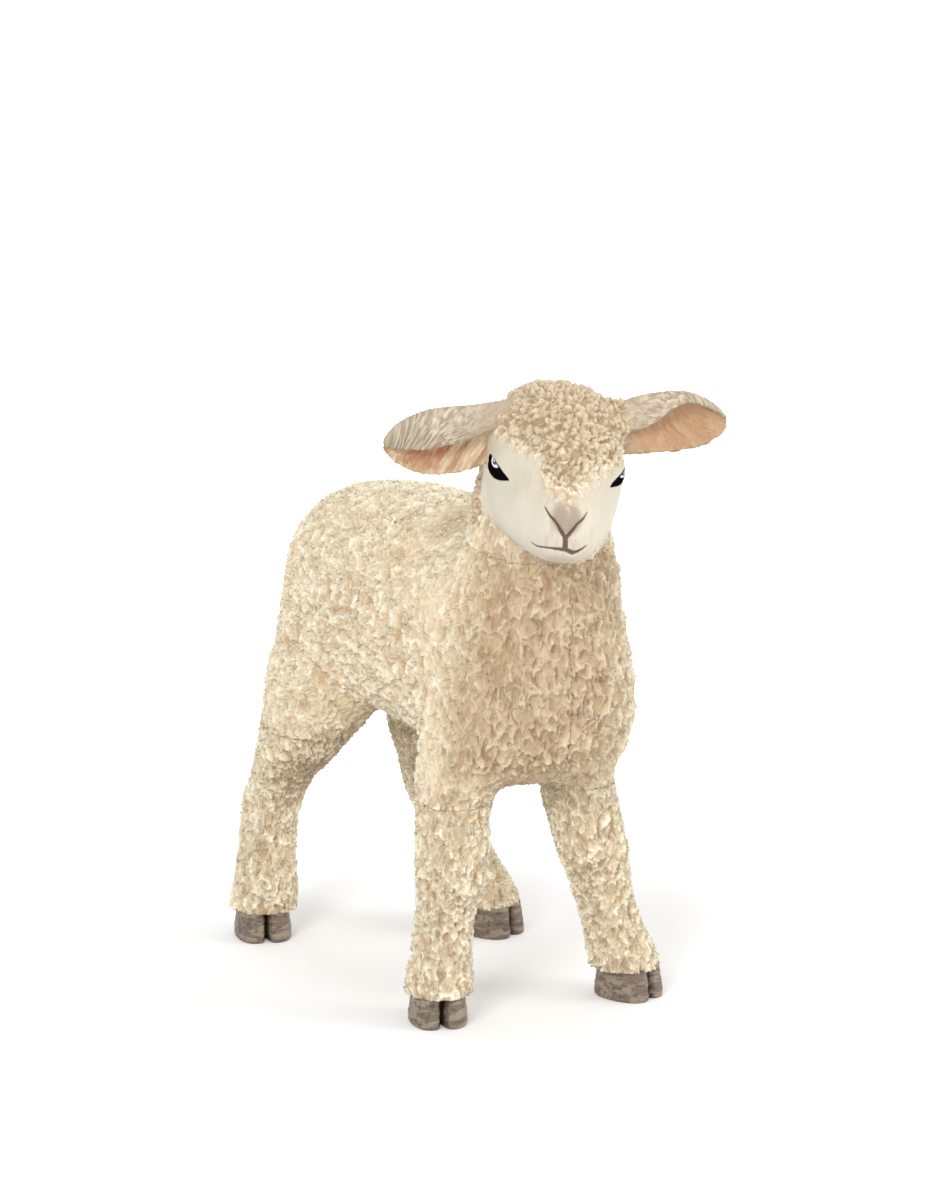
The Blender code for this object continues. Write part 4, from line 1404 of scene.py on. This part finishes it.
    def _store_masks(self, skin: bpy.types.Object) -> None:
        """Store where each kind of wool lies, the face, its lines and its eyes."""
        mesh = skin.data
        points, normals = points_of(mesh), normals_of(mesh)
        x, y, z = points.T
        local = self.head.local(points)
        lateral, ahead, up = local.T
        bearing, rise = self._angles(points)
        off_nose = lateral - self.nose_middle
        cap = smoothstep(*self.cap_reach, away_from(local, (0.0, 0.0, 0.0), (1.0, 1.15, 1.0)))
        cap *= smoothstep(*self.cap_floor, z)
        chest = smoothstep(*self.chest_front, y) * smoothstep(*self.chest_floor, z)
        chest *= smoothstep(-0.15, 0.45, -normals[:, 1] + 0.25 * np.abs(normals[:, 0]))
        legs = smoothstep(*self.leg_top, z)
        nape = away_from(points, self.nape_middle, (1.0, 1.0, 0.85))
        nape = smoothstep(*self.nape_reach, nape)
        bridge = np.exp(-((off_nose / 3.2) ** 2) - ((up - 0.8) / 1.5) ** 2)
        face = self._face_share(points) * (1.0 - 0.42 * bridge * smoothstep(4.0, 6.0, ahead))
        masks, free = {"face": face}, 1.0 - face
        for name, share in (("cap", cap), ("legs", legs), ("chest", chest), ("nape", nape)):
            masks[name] = free * share
            free = free * (1.0 - share)
        # The crown rises towards the top of the head. It deepens the cap's relief, and in the
        # paint it deepens the cap's painted shade.
        crown = smoothstep(0.0, 15.0, rise - np.interp(bearing, *np.array(self.cap_border).T))
        masks["crown"] = np.where(np.abs(bearing) > 110.0, 1.0, crown)
        # Painted shade, partly a brown tint, on the chest and the lower face, fading towards the
        # lamb's left. Painted shade beneath the belly, where the skin faces down. A real
        # pinkish-brown tint on the chin.
        stain = smoothstep(*self.stain_and_shade_front, y) * smoothstep(*self.stain_and_shade_top, z)
        stain *= smoothstep(*self.stain_and_shade_floor, z) * 0.8 * smoothstep(*self.stain_and_shade_side, x)
        belly_shade = 0.7 * smoothstep(*self.belly_top, z) * smoothstep(-0.2, -0.8, normals[:, 2])
        chin = smoothstep(1.3, 0.5, away_from(local, self.chin_middle, (1.5, 1.6, 1.1)))
        masks["stain"] = np.maximum(np.maximum(stain, belly_shade), chin)
        muzzle = away_from(local, self.muzzle_middle, (2.2, 1.8, 1.6))
        masks["muzzle"] = smoothstep(1.2, 0.6, muzzle)
        turned = np.radians(np.stack((bearing, rise, 0 * rise), axis=1))
        masks["hair"] = turned * self.head_radius
        masks["line_gap"] = self._line_gap(points)
        masks["eye_gap"] = np.minimum(*(self.almond.gap(points, self.head, side) for side in Side))
        spot = np.hypot(off_nose / 1.25, (up + 1.25) / 1.35)
        bridge = np.exp(-((off_nose / 2.0) ** 2) - ((up - 0.9) / 2.0) ** 2)
        nose = np.maximum(smoothstep(1.1, 0.6, spot), 0.35 * bridge)
        masks["nose"] = nose * smoothstep(4.5, 6.5, ahead)
        for name, values in masks.items():
            keep_mask(mesh, name, values)

    def lines(self) -> list[np.ndarray]:
        """Drawn lines of nose and mouth: to the left, up, and half the line's width."""
        middle = np.array((self.nose_middle, 0.0, 0.0))
        half = np.array(self.nostril)
        mirrored = half * (-1.0, 1.0, 1.0)
        return [middle + half, middle + mirrored, np.array(self.lip_cleft), np.array(self.mouth)]

    def _line_gap(self, points: np.ndarray) -> np.ndarray:
        """Distance from points to the edge of the nearest drawn line, seen from ahead."""
        local = self.head.local(points)
        best = np.full(len(points), FAR_OFF)
        near = (local[:, 1] > 5.5) & (local[:, 2] < 0.5) & (np.abs(local[:, 0]) < 4.0)
        flat = local[near][:, (0, 2)]
        for line in self.lines():
            steps = np.linspace(0.0, len(line) - 1.0, 30)
            fine = eased(np.column_stack((np.arange(len(line)), line)), steps)
            for start, end in zip(fine, fine[1:]):
                way = end[:2] - start[:2]
                share = np.clip(((flat - start[:2]) @ way) / max(way @ way, 1e-9), 0.0, 1.0)
                gap = np.linalg.norm(flat - start[:2] - share[:, None] * way, axis=1)
                gap = gap - (start[2] + share * (end[2] - start[2]))
                best[near] = np.minimum(best[near], gap)
        return best


@dataclass
class Wool:
    """The relief of the curls and the bare face, and the pieces that the skin is cut into."""

    skin: LambSkin
    middle_plane: float = 0.231
    leg_plane: float = 17.0
    quarter_plane: float = 2.88
    cuff_plane: float = 2.3
    neck_point: Triple = (0.231, -11.32, 36.2)
    neck_tilt: float = 7.0
    reach: float = 90.0
    sunk: float = 0.20
    cap_lift: float = 0.06
    eye_pit: float = 0.06
    sizes: dict[str, float] = field(
        default_factory=lambda: {
            "Seed": 1.0,
            "Flank Depth": 0.52,
            "Chest Depth": 0.68,
            "Leg Depth": 0.46,
            "Nape Depth": 0.26,
            "Cap Depth": 0.52,
            "Tuft Depth": 0.42,
            "Groove Depth": 0.16,
            "Lid Height": 0.05,
        }
    )

    def tree(self) -> ReliefTree:
        """Build the tree that lays the wool."""
        tree = ReliefTree("wool_relief", self.sizes)
        spot = tree.spot()
        face = tree.mask("face")
        tufts = (tree.noise(spot, 0.8, 2.0) - 0.5) * tree.size("Tuft Depth")
        height = (1.0 - face) * (tufts - self.sunk) + tree.mask("cap") * self.cap_lift
        for name, (pattern, weight) in WoolPattern().kinds(tree, spot).items():
            raised = pattern * weight * tree.size(f"{name} Depth")
            if name == "Cap":
                raised = raised * (tree.mask("crown") * 0.5 + 0.5)
            height = height + raised
        groove = tree.mask("line_gap").eased(0.14, -0.08) * tree.size("Groove Depth")
        gap = tree.mask("eye_gap")
        lid = gap.eased(-0.05, 0.10) * gap.eased(0.55, 0.14) * tree.size("Lid Height")
        pit = gap.eased(0.02, -0.12) * self.eye_pit
        height = height + (lid - groove - pit) * face
        tree.close(height, {"rest": spot})
        return tree

    def build(self) -> bpy.types.Material:
        """Lay the wool on the skin, cut it into its pieces and return its paint."""
        skin = self.skin.build()
        fleece = WoolPaint().material()
        self.tree().raise_on(skin, fleece, {})
        far, mid = self.reach, self.middle_plane
        tilt = Matrix.Rotation(math.radians(self.neck_tilt), 4, "X")
        neck = Matrix.Translation(Vector(self.neck_point) * MM) @ tilt
        above = self._block("above_neck", (-far, -far, 0), (far, far, far), neck)
        fore, hind = (-far, self.quarter_plane), (self.quarter_plane, far)
        high, low = (self.leg_plane, far), (self.cuff_plane, self.leg_plane)
        rows = (
            ("shoulder_fleece", "torso", fore, high, above),
            ("rump_fleece", "torso", hind, high, above),
            ("foreleg_fleece", "foreleg", fore, low, None),
            ("hindleg_fleece", "hindleg", hind, low, None),
        )
        for kind, node, (near, off), (bottom, top), outside in rows:
            for side in Side:
                inner, outer = (mid, far) if side is Side.LEFT else (-far, mid)
                name = f"{kind}_{side.word}"
                box = self._block(f"{name}_box", (inner, near, bottom), (outer, off, top))
                piece = self._piece(skin, name, box, outside)
                hand_in(piece, "fleece_paint", f"{node}_{side.word}")
        head = self._piece(skin, "head_skin", above, None)
        head.data.materials.clear()
        head.data.materials.append(FacePaint().material())
        hand_in(head, "face_paint", "head")
        for each in list(bpy.data.objects):
            if each.name.endswith("_box") or each in (above, skin):
                bpy.data.objects.remove(each)
        return fleece

    @staticmethod
    def _block(
        name: str, low: Triple, high: Triple, place: Matrix | None = None
    ) -> bpy.types.Object:
        """Make a cutting block between two corners, moved by a placing matrix."""
        form = bmesh.new()
        one, two = Vector(low) * MM, Vector(high) * MM
        shape = Matrix.Translation((one + two) / 2) @ Matrix.Diagonal((*(two - one), 1.0))
        bmesh.ops.create_cube(form, size=1.0, matrix=place @ shape if place else shape)
        return linked(name, write(form, bpy.data.meshes.new(name)))

    @staticmethod
    def _piece(
        skin: bpy.types.Object,
        name: str,
        inside: bpy.types.Object,
        outside: bpy.types.Object | None,
    ) -> bpy.types.Object:
        """Cut one piece from the skin.

        Args:
            skin: The whole skin.
            name: The piece's name.
            inside: Block that the piece lies in.
            outside: Block that it stays out of, if any.

        Returns:
            The piece.
        """
        made = linked(name, skin.data.copy())
        for other, operation in ((inside, "INTERSECT"), (outside, "DIFFERENCE")):
            if other is not None:
                step = made.modifiers.new(operation.lower(), "BOOLEAN")
                step.operation = operation
                step.solver = "MANIFOLD"
                step.object = other
        settle(made)
        Wool._mend_cuts(made, (inside, outside))
        return made

    @staticmethod
    def _mend_cuts(made: bpy.types.Object, blocks: Iterable[bpy.types.Object | None]) -> None:
        """Shade the cut faces flat, and carry the masks over to the points along the cuts."""
        mesh = made.data
        centres, ways = (rows_of(mesh.polygons, name, 3) for name in ("center", "normal"))
        centres, points = centres / MM, points_of(mesh)
        smooth, inner = np.ones(len(centres), bool), np.ones(len(points), bool)
        for block in filter(None, blocks):
            for side in block.data.polygons:
                centre, way = np.array(side.center) / MM, np.array(side.normal)
                level = np.abs((centres - centre) @ way) < ON_CUT
                smooth &= ~(level & (np.abs(ways @ way) > 0.99))
                inner &= np.abs((points - centre) @ way) > ON_CUT
        mesh.polygons.foreach_set("use_smooth", smooth)
        edges, kept = edges_of(mesh), inner[:, None]
        shares = neighbour_sums(edges, kept)
        cut = ~inner & (shares[:, 0] > 0)
        kinds = {"FLOAT": (1, "value"), "FLOAT_VECTOR": (3, "vector")}
        for layer in mesh.attributes:
            wide, slot = kinds.get(layer.data_type, (0, ""))
            if layer.domain != "POINT" or layer.name == "position" or not wide:
                continue
            values = rows_of(layer.data, slot, wide)
            # The place that the curls are read at moves along with the points.
            follows = points.astype(np.float32) if layer.name == "rest" else np.zeros_like(values)
            values -= follows
            values[cut] = neighbour_sums(edges, values * kept)[cut] / shares[cut]
            layer.data.foreach_set(slot, (values + follows).ravel())
        mesh.update()


@dataclass
class Eyes:
    """Two domed almonds set between the lids."""

    skin: LambSkin
    bulge: float = 0.16
    roundness: float = 2.5
    clearance: float = 0.03
    innermost: float = 0.015
    cast_height: float = 3.0
    sink: float = 0.55
    rings: int = 14
    around: int = 72
    glint: dict[Side, Triple] = by_side((0.40, -0.48, 1.0), (0.38, -0.27, 0.72))

    def build(self, face: BVHTree) -> None:
        """Make both eyes on the face."""
        gloss = EyePaintedGloss().material()
        for side in Side:
            corner, axes, length = self.skin.almond.axes(self.skin.head, side)
            angle = 2.0 * math.pi * np.arange(self.around) / self.around
            share = 0.5 + 0.5 * np.cos(angle)
            middle, half = self.skin.almond.span(share, side)
            rim = np.stack((share * length, middle + half * np.sign(np.sin(angle))), axis=1)
            centre = self.skin.almond.span(np.array((0.5,)), side)[0][0]
            heart = np.array((0.5 * length, float(centre)))
            way, down, spread = self.glint[side]
            points, lens = [], []
            for ring in range(self.rings + 1):
                size = 1.0 - ring / self.rings * (1.0 - self.innermost)
                for spot in heart + (rim - heart) * size:
                    off = (spot[0] / length - way, spot[1] - heart[1] - down)
                    lens.append((off[0] / spread, off[1] / spread, 0.0))
                    flat = corner + axes[0] * spot[0] + axes[1] * spot[1]
                    start = Vector((flat + axes[2] * self.cast_height) * MM)
                    hit = face.ray_cast(start, -Vector(axes[2]))[0]
                    level = (np.array(hit) / MM - flat) @ axes[2] if hit else 0.0
                    rise = self.bulge * (1.0 - size**self.roundness) + self.clearance
                    points.append(flat + axes[2] * (level + rise))
            low = [point - axes[2] * self.sink for point in points[: self.around]]
            lens = lens[: self.around] + lens
            name = f"eye_dome_{side.word}"
            made = object_from(name, low + points, ring_faces(self.rings + 2, self.around))
            face_outwards(made)
            keep_mask(made.data, "lens", np.array(lens))
            made.data.materials.append(gloss)
            hand_in(made, "eye_gloss", f"eye_{side.word}")


@dataclass
class Ears:
    """Two folded leaves with hair outside and ridges inside."""

    head_middle: Triple = (-0.369, -13.620, 42.300)
    head_size: Triple = (10.0, 15.0, 12.7)
    turn: float = -20.0
    roll: float = 6.0
    length: float = 9.0
    width: float = 4.8
    thickness: float = 0.8
    section: tuple[Span, ...] = (
        (0.10, -0.48),
        (-0.05, -0.29),
        (-0.11, -0.04),
        (-0.09, 0.20),
        (0.00, 0.39),
        (0.10, 0.46),
    )
    rim: tuple[Span, ...] = ((0.11, 0.30), (0.16, 1.00))
    fold: dict[Side, tuple[Span, ...]] = by_side(
        right=((-0.3, 0.24), (0.0, 0.26), (0.3, 0.40), (0.6, 0.49), (1.0, 0.50)),
        left=((-0.3, 0.42), (0.1, 0.46), (0.37, 0.40), (0.57, 0.15), (1.0, 0.08)),
    )
    lift: dict[Side, tuple[Span, ...]] = by_side(
        right=((-0.3, 0.0), (0.0, 0.05), (0.3, -0.20), (0.7, -0.30), (1.0, -0.05)),
        left=((-0.3, -0.50), (0.0, -0.45), (0.3, 0.05), (0.6, 0.20), (1.0, 0.10)),
    )
    girth: dict[Side, float] = by_side(1.0, 0.90)
    mouth: dict[Side, float] = by_side(0.0, 0.12)
    rubbed: dict[Side, float] = by_side(0.64, 0.42)
    root: dict[Side, Triple] = by_side((-0.02, -0.36, 0.20), (-0.02, 0.34, 0.26))
    outward: dict[Side, Triple] = by_side((0.00, -1.00, -0.14), (-0.06, 1.00, 0.14))
    shares: tuple[tuple[float, float, float, float], ...] = (
        (-0.26, 0.90, 2.40, 0.00),
        (-0.12, 0.78, 2.40, 0.00),
        (0.00, 0.74, 2.20, 0.00),
        (0.12, 0.78, 1.90, 0.00),
        (0.24, 0.87, 1.50, 0.00),
        (0.38, 0.96, 1.15, 0.00),
        (0.52, 1.00, 1.00, 0.00),
        (0.65, 0.97, 0.95, 0.00),
        (0.77, 0.85, 0.85, -0.01),
        (0.88, 0.63, 0.75, -0.02),
        (0.96, 0.36, 0.65, -0.03),
        (1.00, 0.14, 0.55, -0.03),
    )
    rings: int = 130
    half_around: int = 90
    edge_reach: float = 0.035
    flow_across: float = 8.0
    flow_depth: float = 3.0
    mouth_fade: float = 0.16
    rim_share: float = 0.015
    least_hair: float = 0.15
    rub_across: float = 0.35
    rub_reach: tuple[float, float] = (0.20, 0.22)

    def axes(self, side: Side) -> tuple[np.ndarray, np.ndarray]:
        """Root of an ear and its axes as rows: ahead, outward, up."""
        turn = Matrix.Rotation(math.radians(self.turn), 3, "Z")
        basis = turn @ Matrix.Rotation(math.radians(self.roll), 3, "Y")
        ahead, across, up = self.root[side]
        wide, long, deep = self.head_size
        root = Vector(self.head_middle) + basis @ Vector((across * wide, -ahead * long, up * deep))
        forward, sideways, rise = self.outward[side]
        out = (basis @ Vector((sideways, -forward, rise))).normalized()
        front = basis @ Vector((0.0, -1.0, 0.0))
        top = out.cross(front)
        top = (top if top.z > 0 else -top).normalized()
        lead = top.cross(out)
        lead = (lead if lead.dot(front) > 0 else -lead).normalized()
        return np.array(root), np.array((lead, out, top))

    def build(self) -> None:
        """Make both ears."""
        tree = self.tree()
        material = EarPaint().material()
        for side in Side:
            made = self._leaf(side)
            tree.raise_on(made, material, {"Seed": 3.0 + side.value})
            hand_in(made, "ear_paint", f"ear_{side.word}")

    def _section(self, across: np.ndarray, fold: float) -> tuple[np.ndarray, np.ndarray]:
        """Middle line across an ear and the way out from its back.

        Args:
            across: Shares of the way from the lower rim to the folded edge.
            fold: How far the folded rim hangs.

        Returns:
            Points (ahead, up) in ear widths, and unit ways out.
        """
        top_ahead, top_up = self.section[-1]
        hang = tuple((top_ahead + a, top_up - b * fold) for a, b in self.rim)
        line = np.array(self.section + hang)
        reach = run_along(line)
        curve = eased(np.column_stack((reach / reach[-1], line)), across)
        run = np.gradient(curve, axis=0)
        run /= np.linalg.norm(run, axis=1)[:, None]
        return curve, np.column_stack((-run[:, 1], run[:, 0]))

    def _leaf(self, side: Side) -> bpy.types.Object:
        """Loft one ear, with its place along and across kept on each point."""
        root, axes = self.axes(side)
        across = np.linspace(0.0, 1.0, self.half_around)
        edge = np.minimum(across, 1.0 - across)
        taper = 0.55 + 0.45 * smoothstep(0.0, 0.25, edge)
        taper = taper * np.sqrt(np.clip(edge / self.edge_reach, 0.04, 1.0))
        ways = np.linspace(0.0, 1.0, self.rings)
        ways = self.shares[0][0] + (1.0 - self.shares[0][0]) * np.sin(ways * math.pi / 2) ** 0.9
        table = eased(self.shares, ways)
        folds, lifts = eased(self.fold[side], ways)[:, 0], eased(self.lift[side], ways)[:, 0]
        points, flow, inside, haired, blush = [], [], [], [], []
        for way, (width, thick, droop), fold, lift in zip(ways, table, folds, lifts):
            middle = root + axes[1] * (way * self.length) + axes[2] * (droop * self.length + lift)
            width = width * self.girth[side]
            curve, away = self._section(across, fold)
            flat = curve * (width * self.width)
            half = (taper * (thick * self.thickness / 2))[:, None] * away
            for sign, order in ((1.0, slice(None)), (-1.0, slice(None, None, -1))):
                for (ahead, up), share in zip((flat + sign * half)[order], across[order]):
                    points.append(middle + axes[0] * ahead + axes[2] * up)
                    along, deep = way * self.length, sign * self.flow_depth
                    flow.append((along, share * self.flow_across * width, deep))
                    hollow = min(max((way - self.mouth[side]) / self.mouth_fade, 0.0), 1.0)
                    inside.append(hollow * (sign < 0 or share < self.rim_share))
                    haired.append(self.least_hair + 0.85 * (way - 0.05) / 0.45)
                    rub = np.array((way - self.rubbed[side], share - self.rub_across))
                    blush.append(math.exp(-float(np.sum((rub / self.rub_reach) ** 2))))
        name = f"ear_leaf_{side.word}"
        made = object_from(name, points, ring_faces(self.rings, 2 * self.half_around))
        face_outwards(made)
        keep_mask(made.data, "flow", np.array(flow))
        keep_mask(made.data, "inside", np.array(inside, float))
        keep_mask(made.data, "blush", np.array(blush))
        # Painted shade over the inside of the left ear.
        keep_mask(made.data, "shade", np.full(len(blush), float(side is Side.LEFT)))
        keep_mask(made.data, "haired", np.clip(haired, self.least_hair, 1.0))
        return made

    def tree(self) -> ReliefTree:
        """Build the tree that combs hair into the ears."""
        tree = ReliefTree("ear_hair", {"Seed": 1.0, "Hair Depth": 0.13, "Ridge Depth": 0.16})
        step = tree.vector("SCALE", (5.1, 2.3, 0.0), tree.size("Seed"))
        flow = tree.vector("ADD", tree.lane("flow"), step)
        pattern, inside = EarPattern(), tree.mask("inside")
        height = pattern.hair(tree, flow) * (1.0 - inside) * tree.size("Hair Depth")
        height = height + pattern.ridge(tree, flow) * inside * tree.size("Ridge Depth") - 0.05
        tree.close(height, {"rest": flow})
        return tree


@dataclass
class Hooves:
    """Four cloven hooves with rings of growth."""

    width: float = 4.3
    length: float = 4.8
    height: float = 2.42
    spots: dict[str, tuple[float, float, float]] = field(
        default_factory=lambda: {
            "forehoof_right": (-6.77, -7.70, -17.0),
            "forehoof_left": (8.83, -8.62, 22.0),
            "hindhoof_right": (-8.66, 17.59, -17.0),
            "hindhoof_left": (7.28, 10.29, 22.0),
        }
    )
    outline: tuple[Span, ...] = (
        (0.00, 0.74),
        (0.20, 0.97),
        (0.46, 1.00),
        (0.74, 0.84),
        (0.94, 0.45),
        (1.00, -0.05),
        (0.93, -0.50),
        (0.70, -0.84),
        (0.36, -1.00),
        (0.00, -0.92),
    )
    swell: tuple[Span, ...] = (
        (0.00, 0.955),
        (0.04, 0.99),
        (0.14, 1.00),
        (0.60, 0.955),
        (1.00, 0.90),
    )
    cleft_width: float = 0.20
    cleft_depth: float = 0.70
    cleft_taper: float = 0.45
    heel_width: float = 0.50
    heel_depth: float = 0.175
    rings: int = 44
    half_around: int = 70

    def build(self) -> None:
        """Make the four hooves."""
        tree = self.tree()
        material = HoofPaint().material()
        for seed, (node, place) in enumerate(self.spots.items()):
            made = self._hoof(node, place)
            tree.raise_on(made, material, {"Seed": float(seed)})
            hand_in(made, "hoof_paint", node)

    def _hoof(self, node: str, place: tuple[float, float, float]) -> bpy.types.Object:
        """Loft one hoof with its toes towards -Y, turned and set on the floor."""
        x0, y0, turn = place
        rows = np.array(self.outline)
        reach = run_along(rows)
        at = np.linspace(0.0, 1.0, self.half_around) ** 1.35 * reach[-1]
        half = eased(np.column_stack((reach, rows)), at)
        half[0, 0] = half[-1, 0] = 0.0
        full = np.concatenate((half, half[-2:0:-1] * (-1.0, 1.0)))
        spin = Matrix.Rotation(math.radians(turn), 3, "Z")
        levels = np.linspace(0.0, 1.0, self.rings)
        swell = eased(self.swell, levels)[:, 0]
        points, cleft = [], []
        for level, size in zip(levels, swell):
            for x, y in full:
                px, py = x * size * self.width / 2, -y * size * self.length / 2
                notch = math.exp(-((px / self.cleft_width) ** 2)) if y > 0 else 0.0
                heel = math.exp(-((px / self.heel_width) ** 2)) if y < 0 else 0.0
                py += notch * self.cleft_depth * (1.0 - self.cleft_taper * level)
                py -= heel * self.heel_depth
                z = level * self.height
                turned = spin @ Vector((px, py, z))
                points.append((turned.x + x0, turned.y + y0, turned.z))
                cleft.append(notch)
        name = node.replace("hoof", "hoof_horn")
        made = object_from(name, points, ring_faces(self.rings, len(full)))
        face_outwards(made)
        keep_mask(made.data, "cleft", np.array(cleft))
        return made

    def tree(self) -> ReliefTree:
        """Build the tree that lays the rings of growth."""
        tree = ReliefTree("hoof_growth", {"Seed": 1.0, "Growth Depth": 0.05})
        spot = tree.spot()
        long = tree.drawn_out(tree.drawn_out(spot, (1.0, 0.0, 0.0), 4.0), (0.0, 1.0, 0.0), 4.0)
        rings = tree.noise(long, 2.2, 2.0).eased(0.35, 0.65)
        place = tree.node("GeometryNodeInputPosition").outputs[0]
        level = tree.out(tree.node("ShaderNodeSeparateXYZ", None, {0: place}), "Z") / MM
        side = level.eased(0.06, 0.25)
        tree.close((rings - 0.5) * side * tree.size("Growth Depth"), {"relief": rings})
        return tree


@dataclass
class Tail:
    """Short woolly tail that hangs against the rump."""

    voxel: float = 0.20
    passes: int = 14
    swell: float = 0.10

    def build(self, tree: ReliefTree, material: bpy.types.Material) -> None:
        """Melt the tail's moulding smooth and lay wool on it."""
        mesh = frame["nodes"]["tail"].data
        made = linked("tail_fleece", write(form_of(mesh, weld=True), mesh.copy()))
        melt(made, self.voxel)
        mesh = made.data
        move_points(mesh, relaxed(points_of(mesh), edges_of(mesh), self.passes))
        move_points(mesh, points_of(mesh) + normals_of(mesh) * self.swell)
        refine(made)
        mesh = made.data
        whole = {"legs": 1.0, "line_gap": FAR_OFF, "eye_gap": FAR_OFF}
        for name in ("face", "cap", "crown", "chest", "nape", "stain", "muzzle", *whole):
            keep_mask(mesh, name, np.full(len(mesh.vertices), whole.get(name, 0.0)))
        tree.raise_on(made, material, {"Seed": 4.0})
        hand_in(made, "fleece_paint", "tail")


def main() -> None:
    """Build the studio and every piece of the lamb, in order."""
    logging.basicConfig(level=logging.INFO, format="%(message)s")
    PhotoCamera().build()
    Studio().build()
    skin = LambSkin()
    wool = Wool(skin)
    fleece = wool.build()
    face = tree_over(bpy.data.objects["head_skin"])
    Eyes(skin).build(face)
    Ears().build()
    Hooves().build()
    Tail().build(wool.tree(), fleece)


if __name__ == "__main__":
    main()
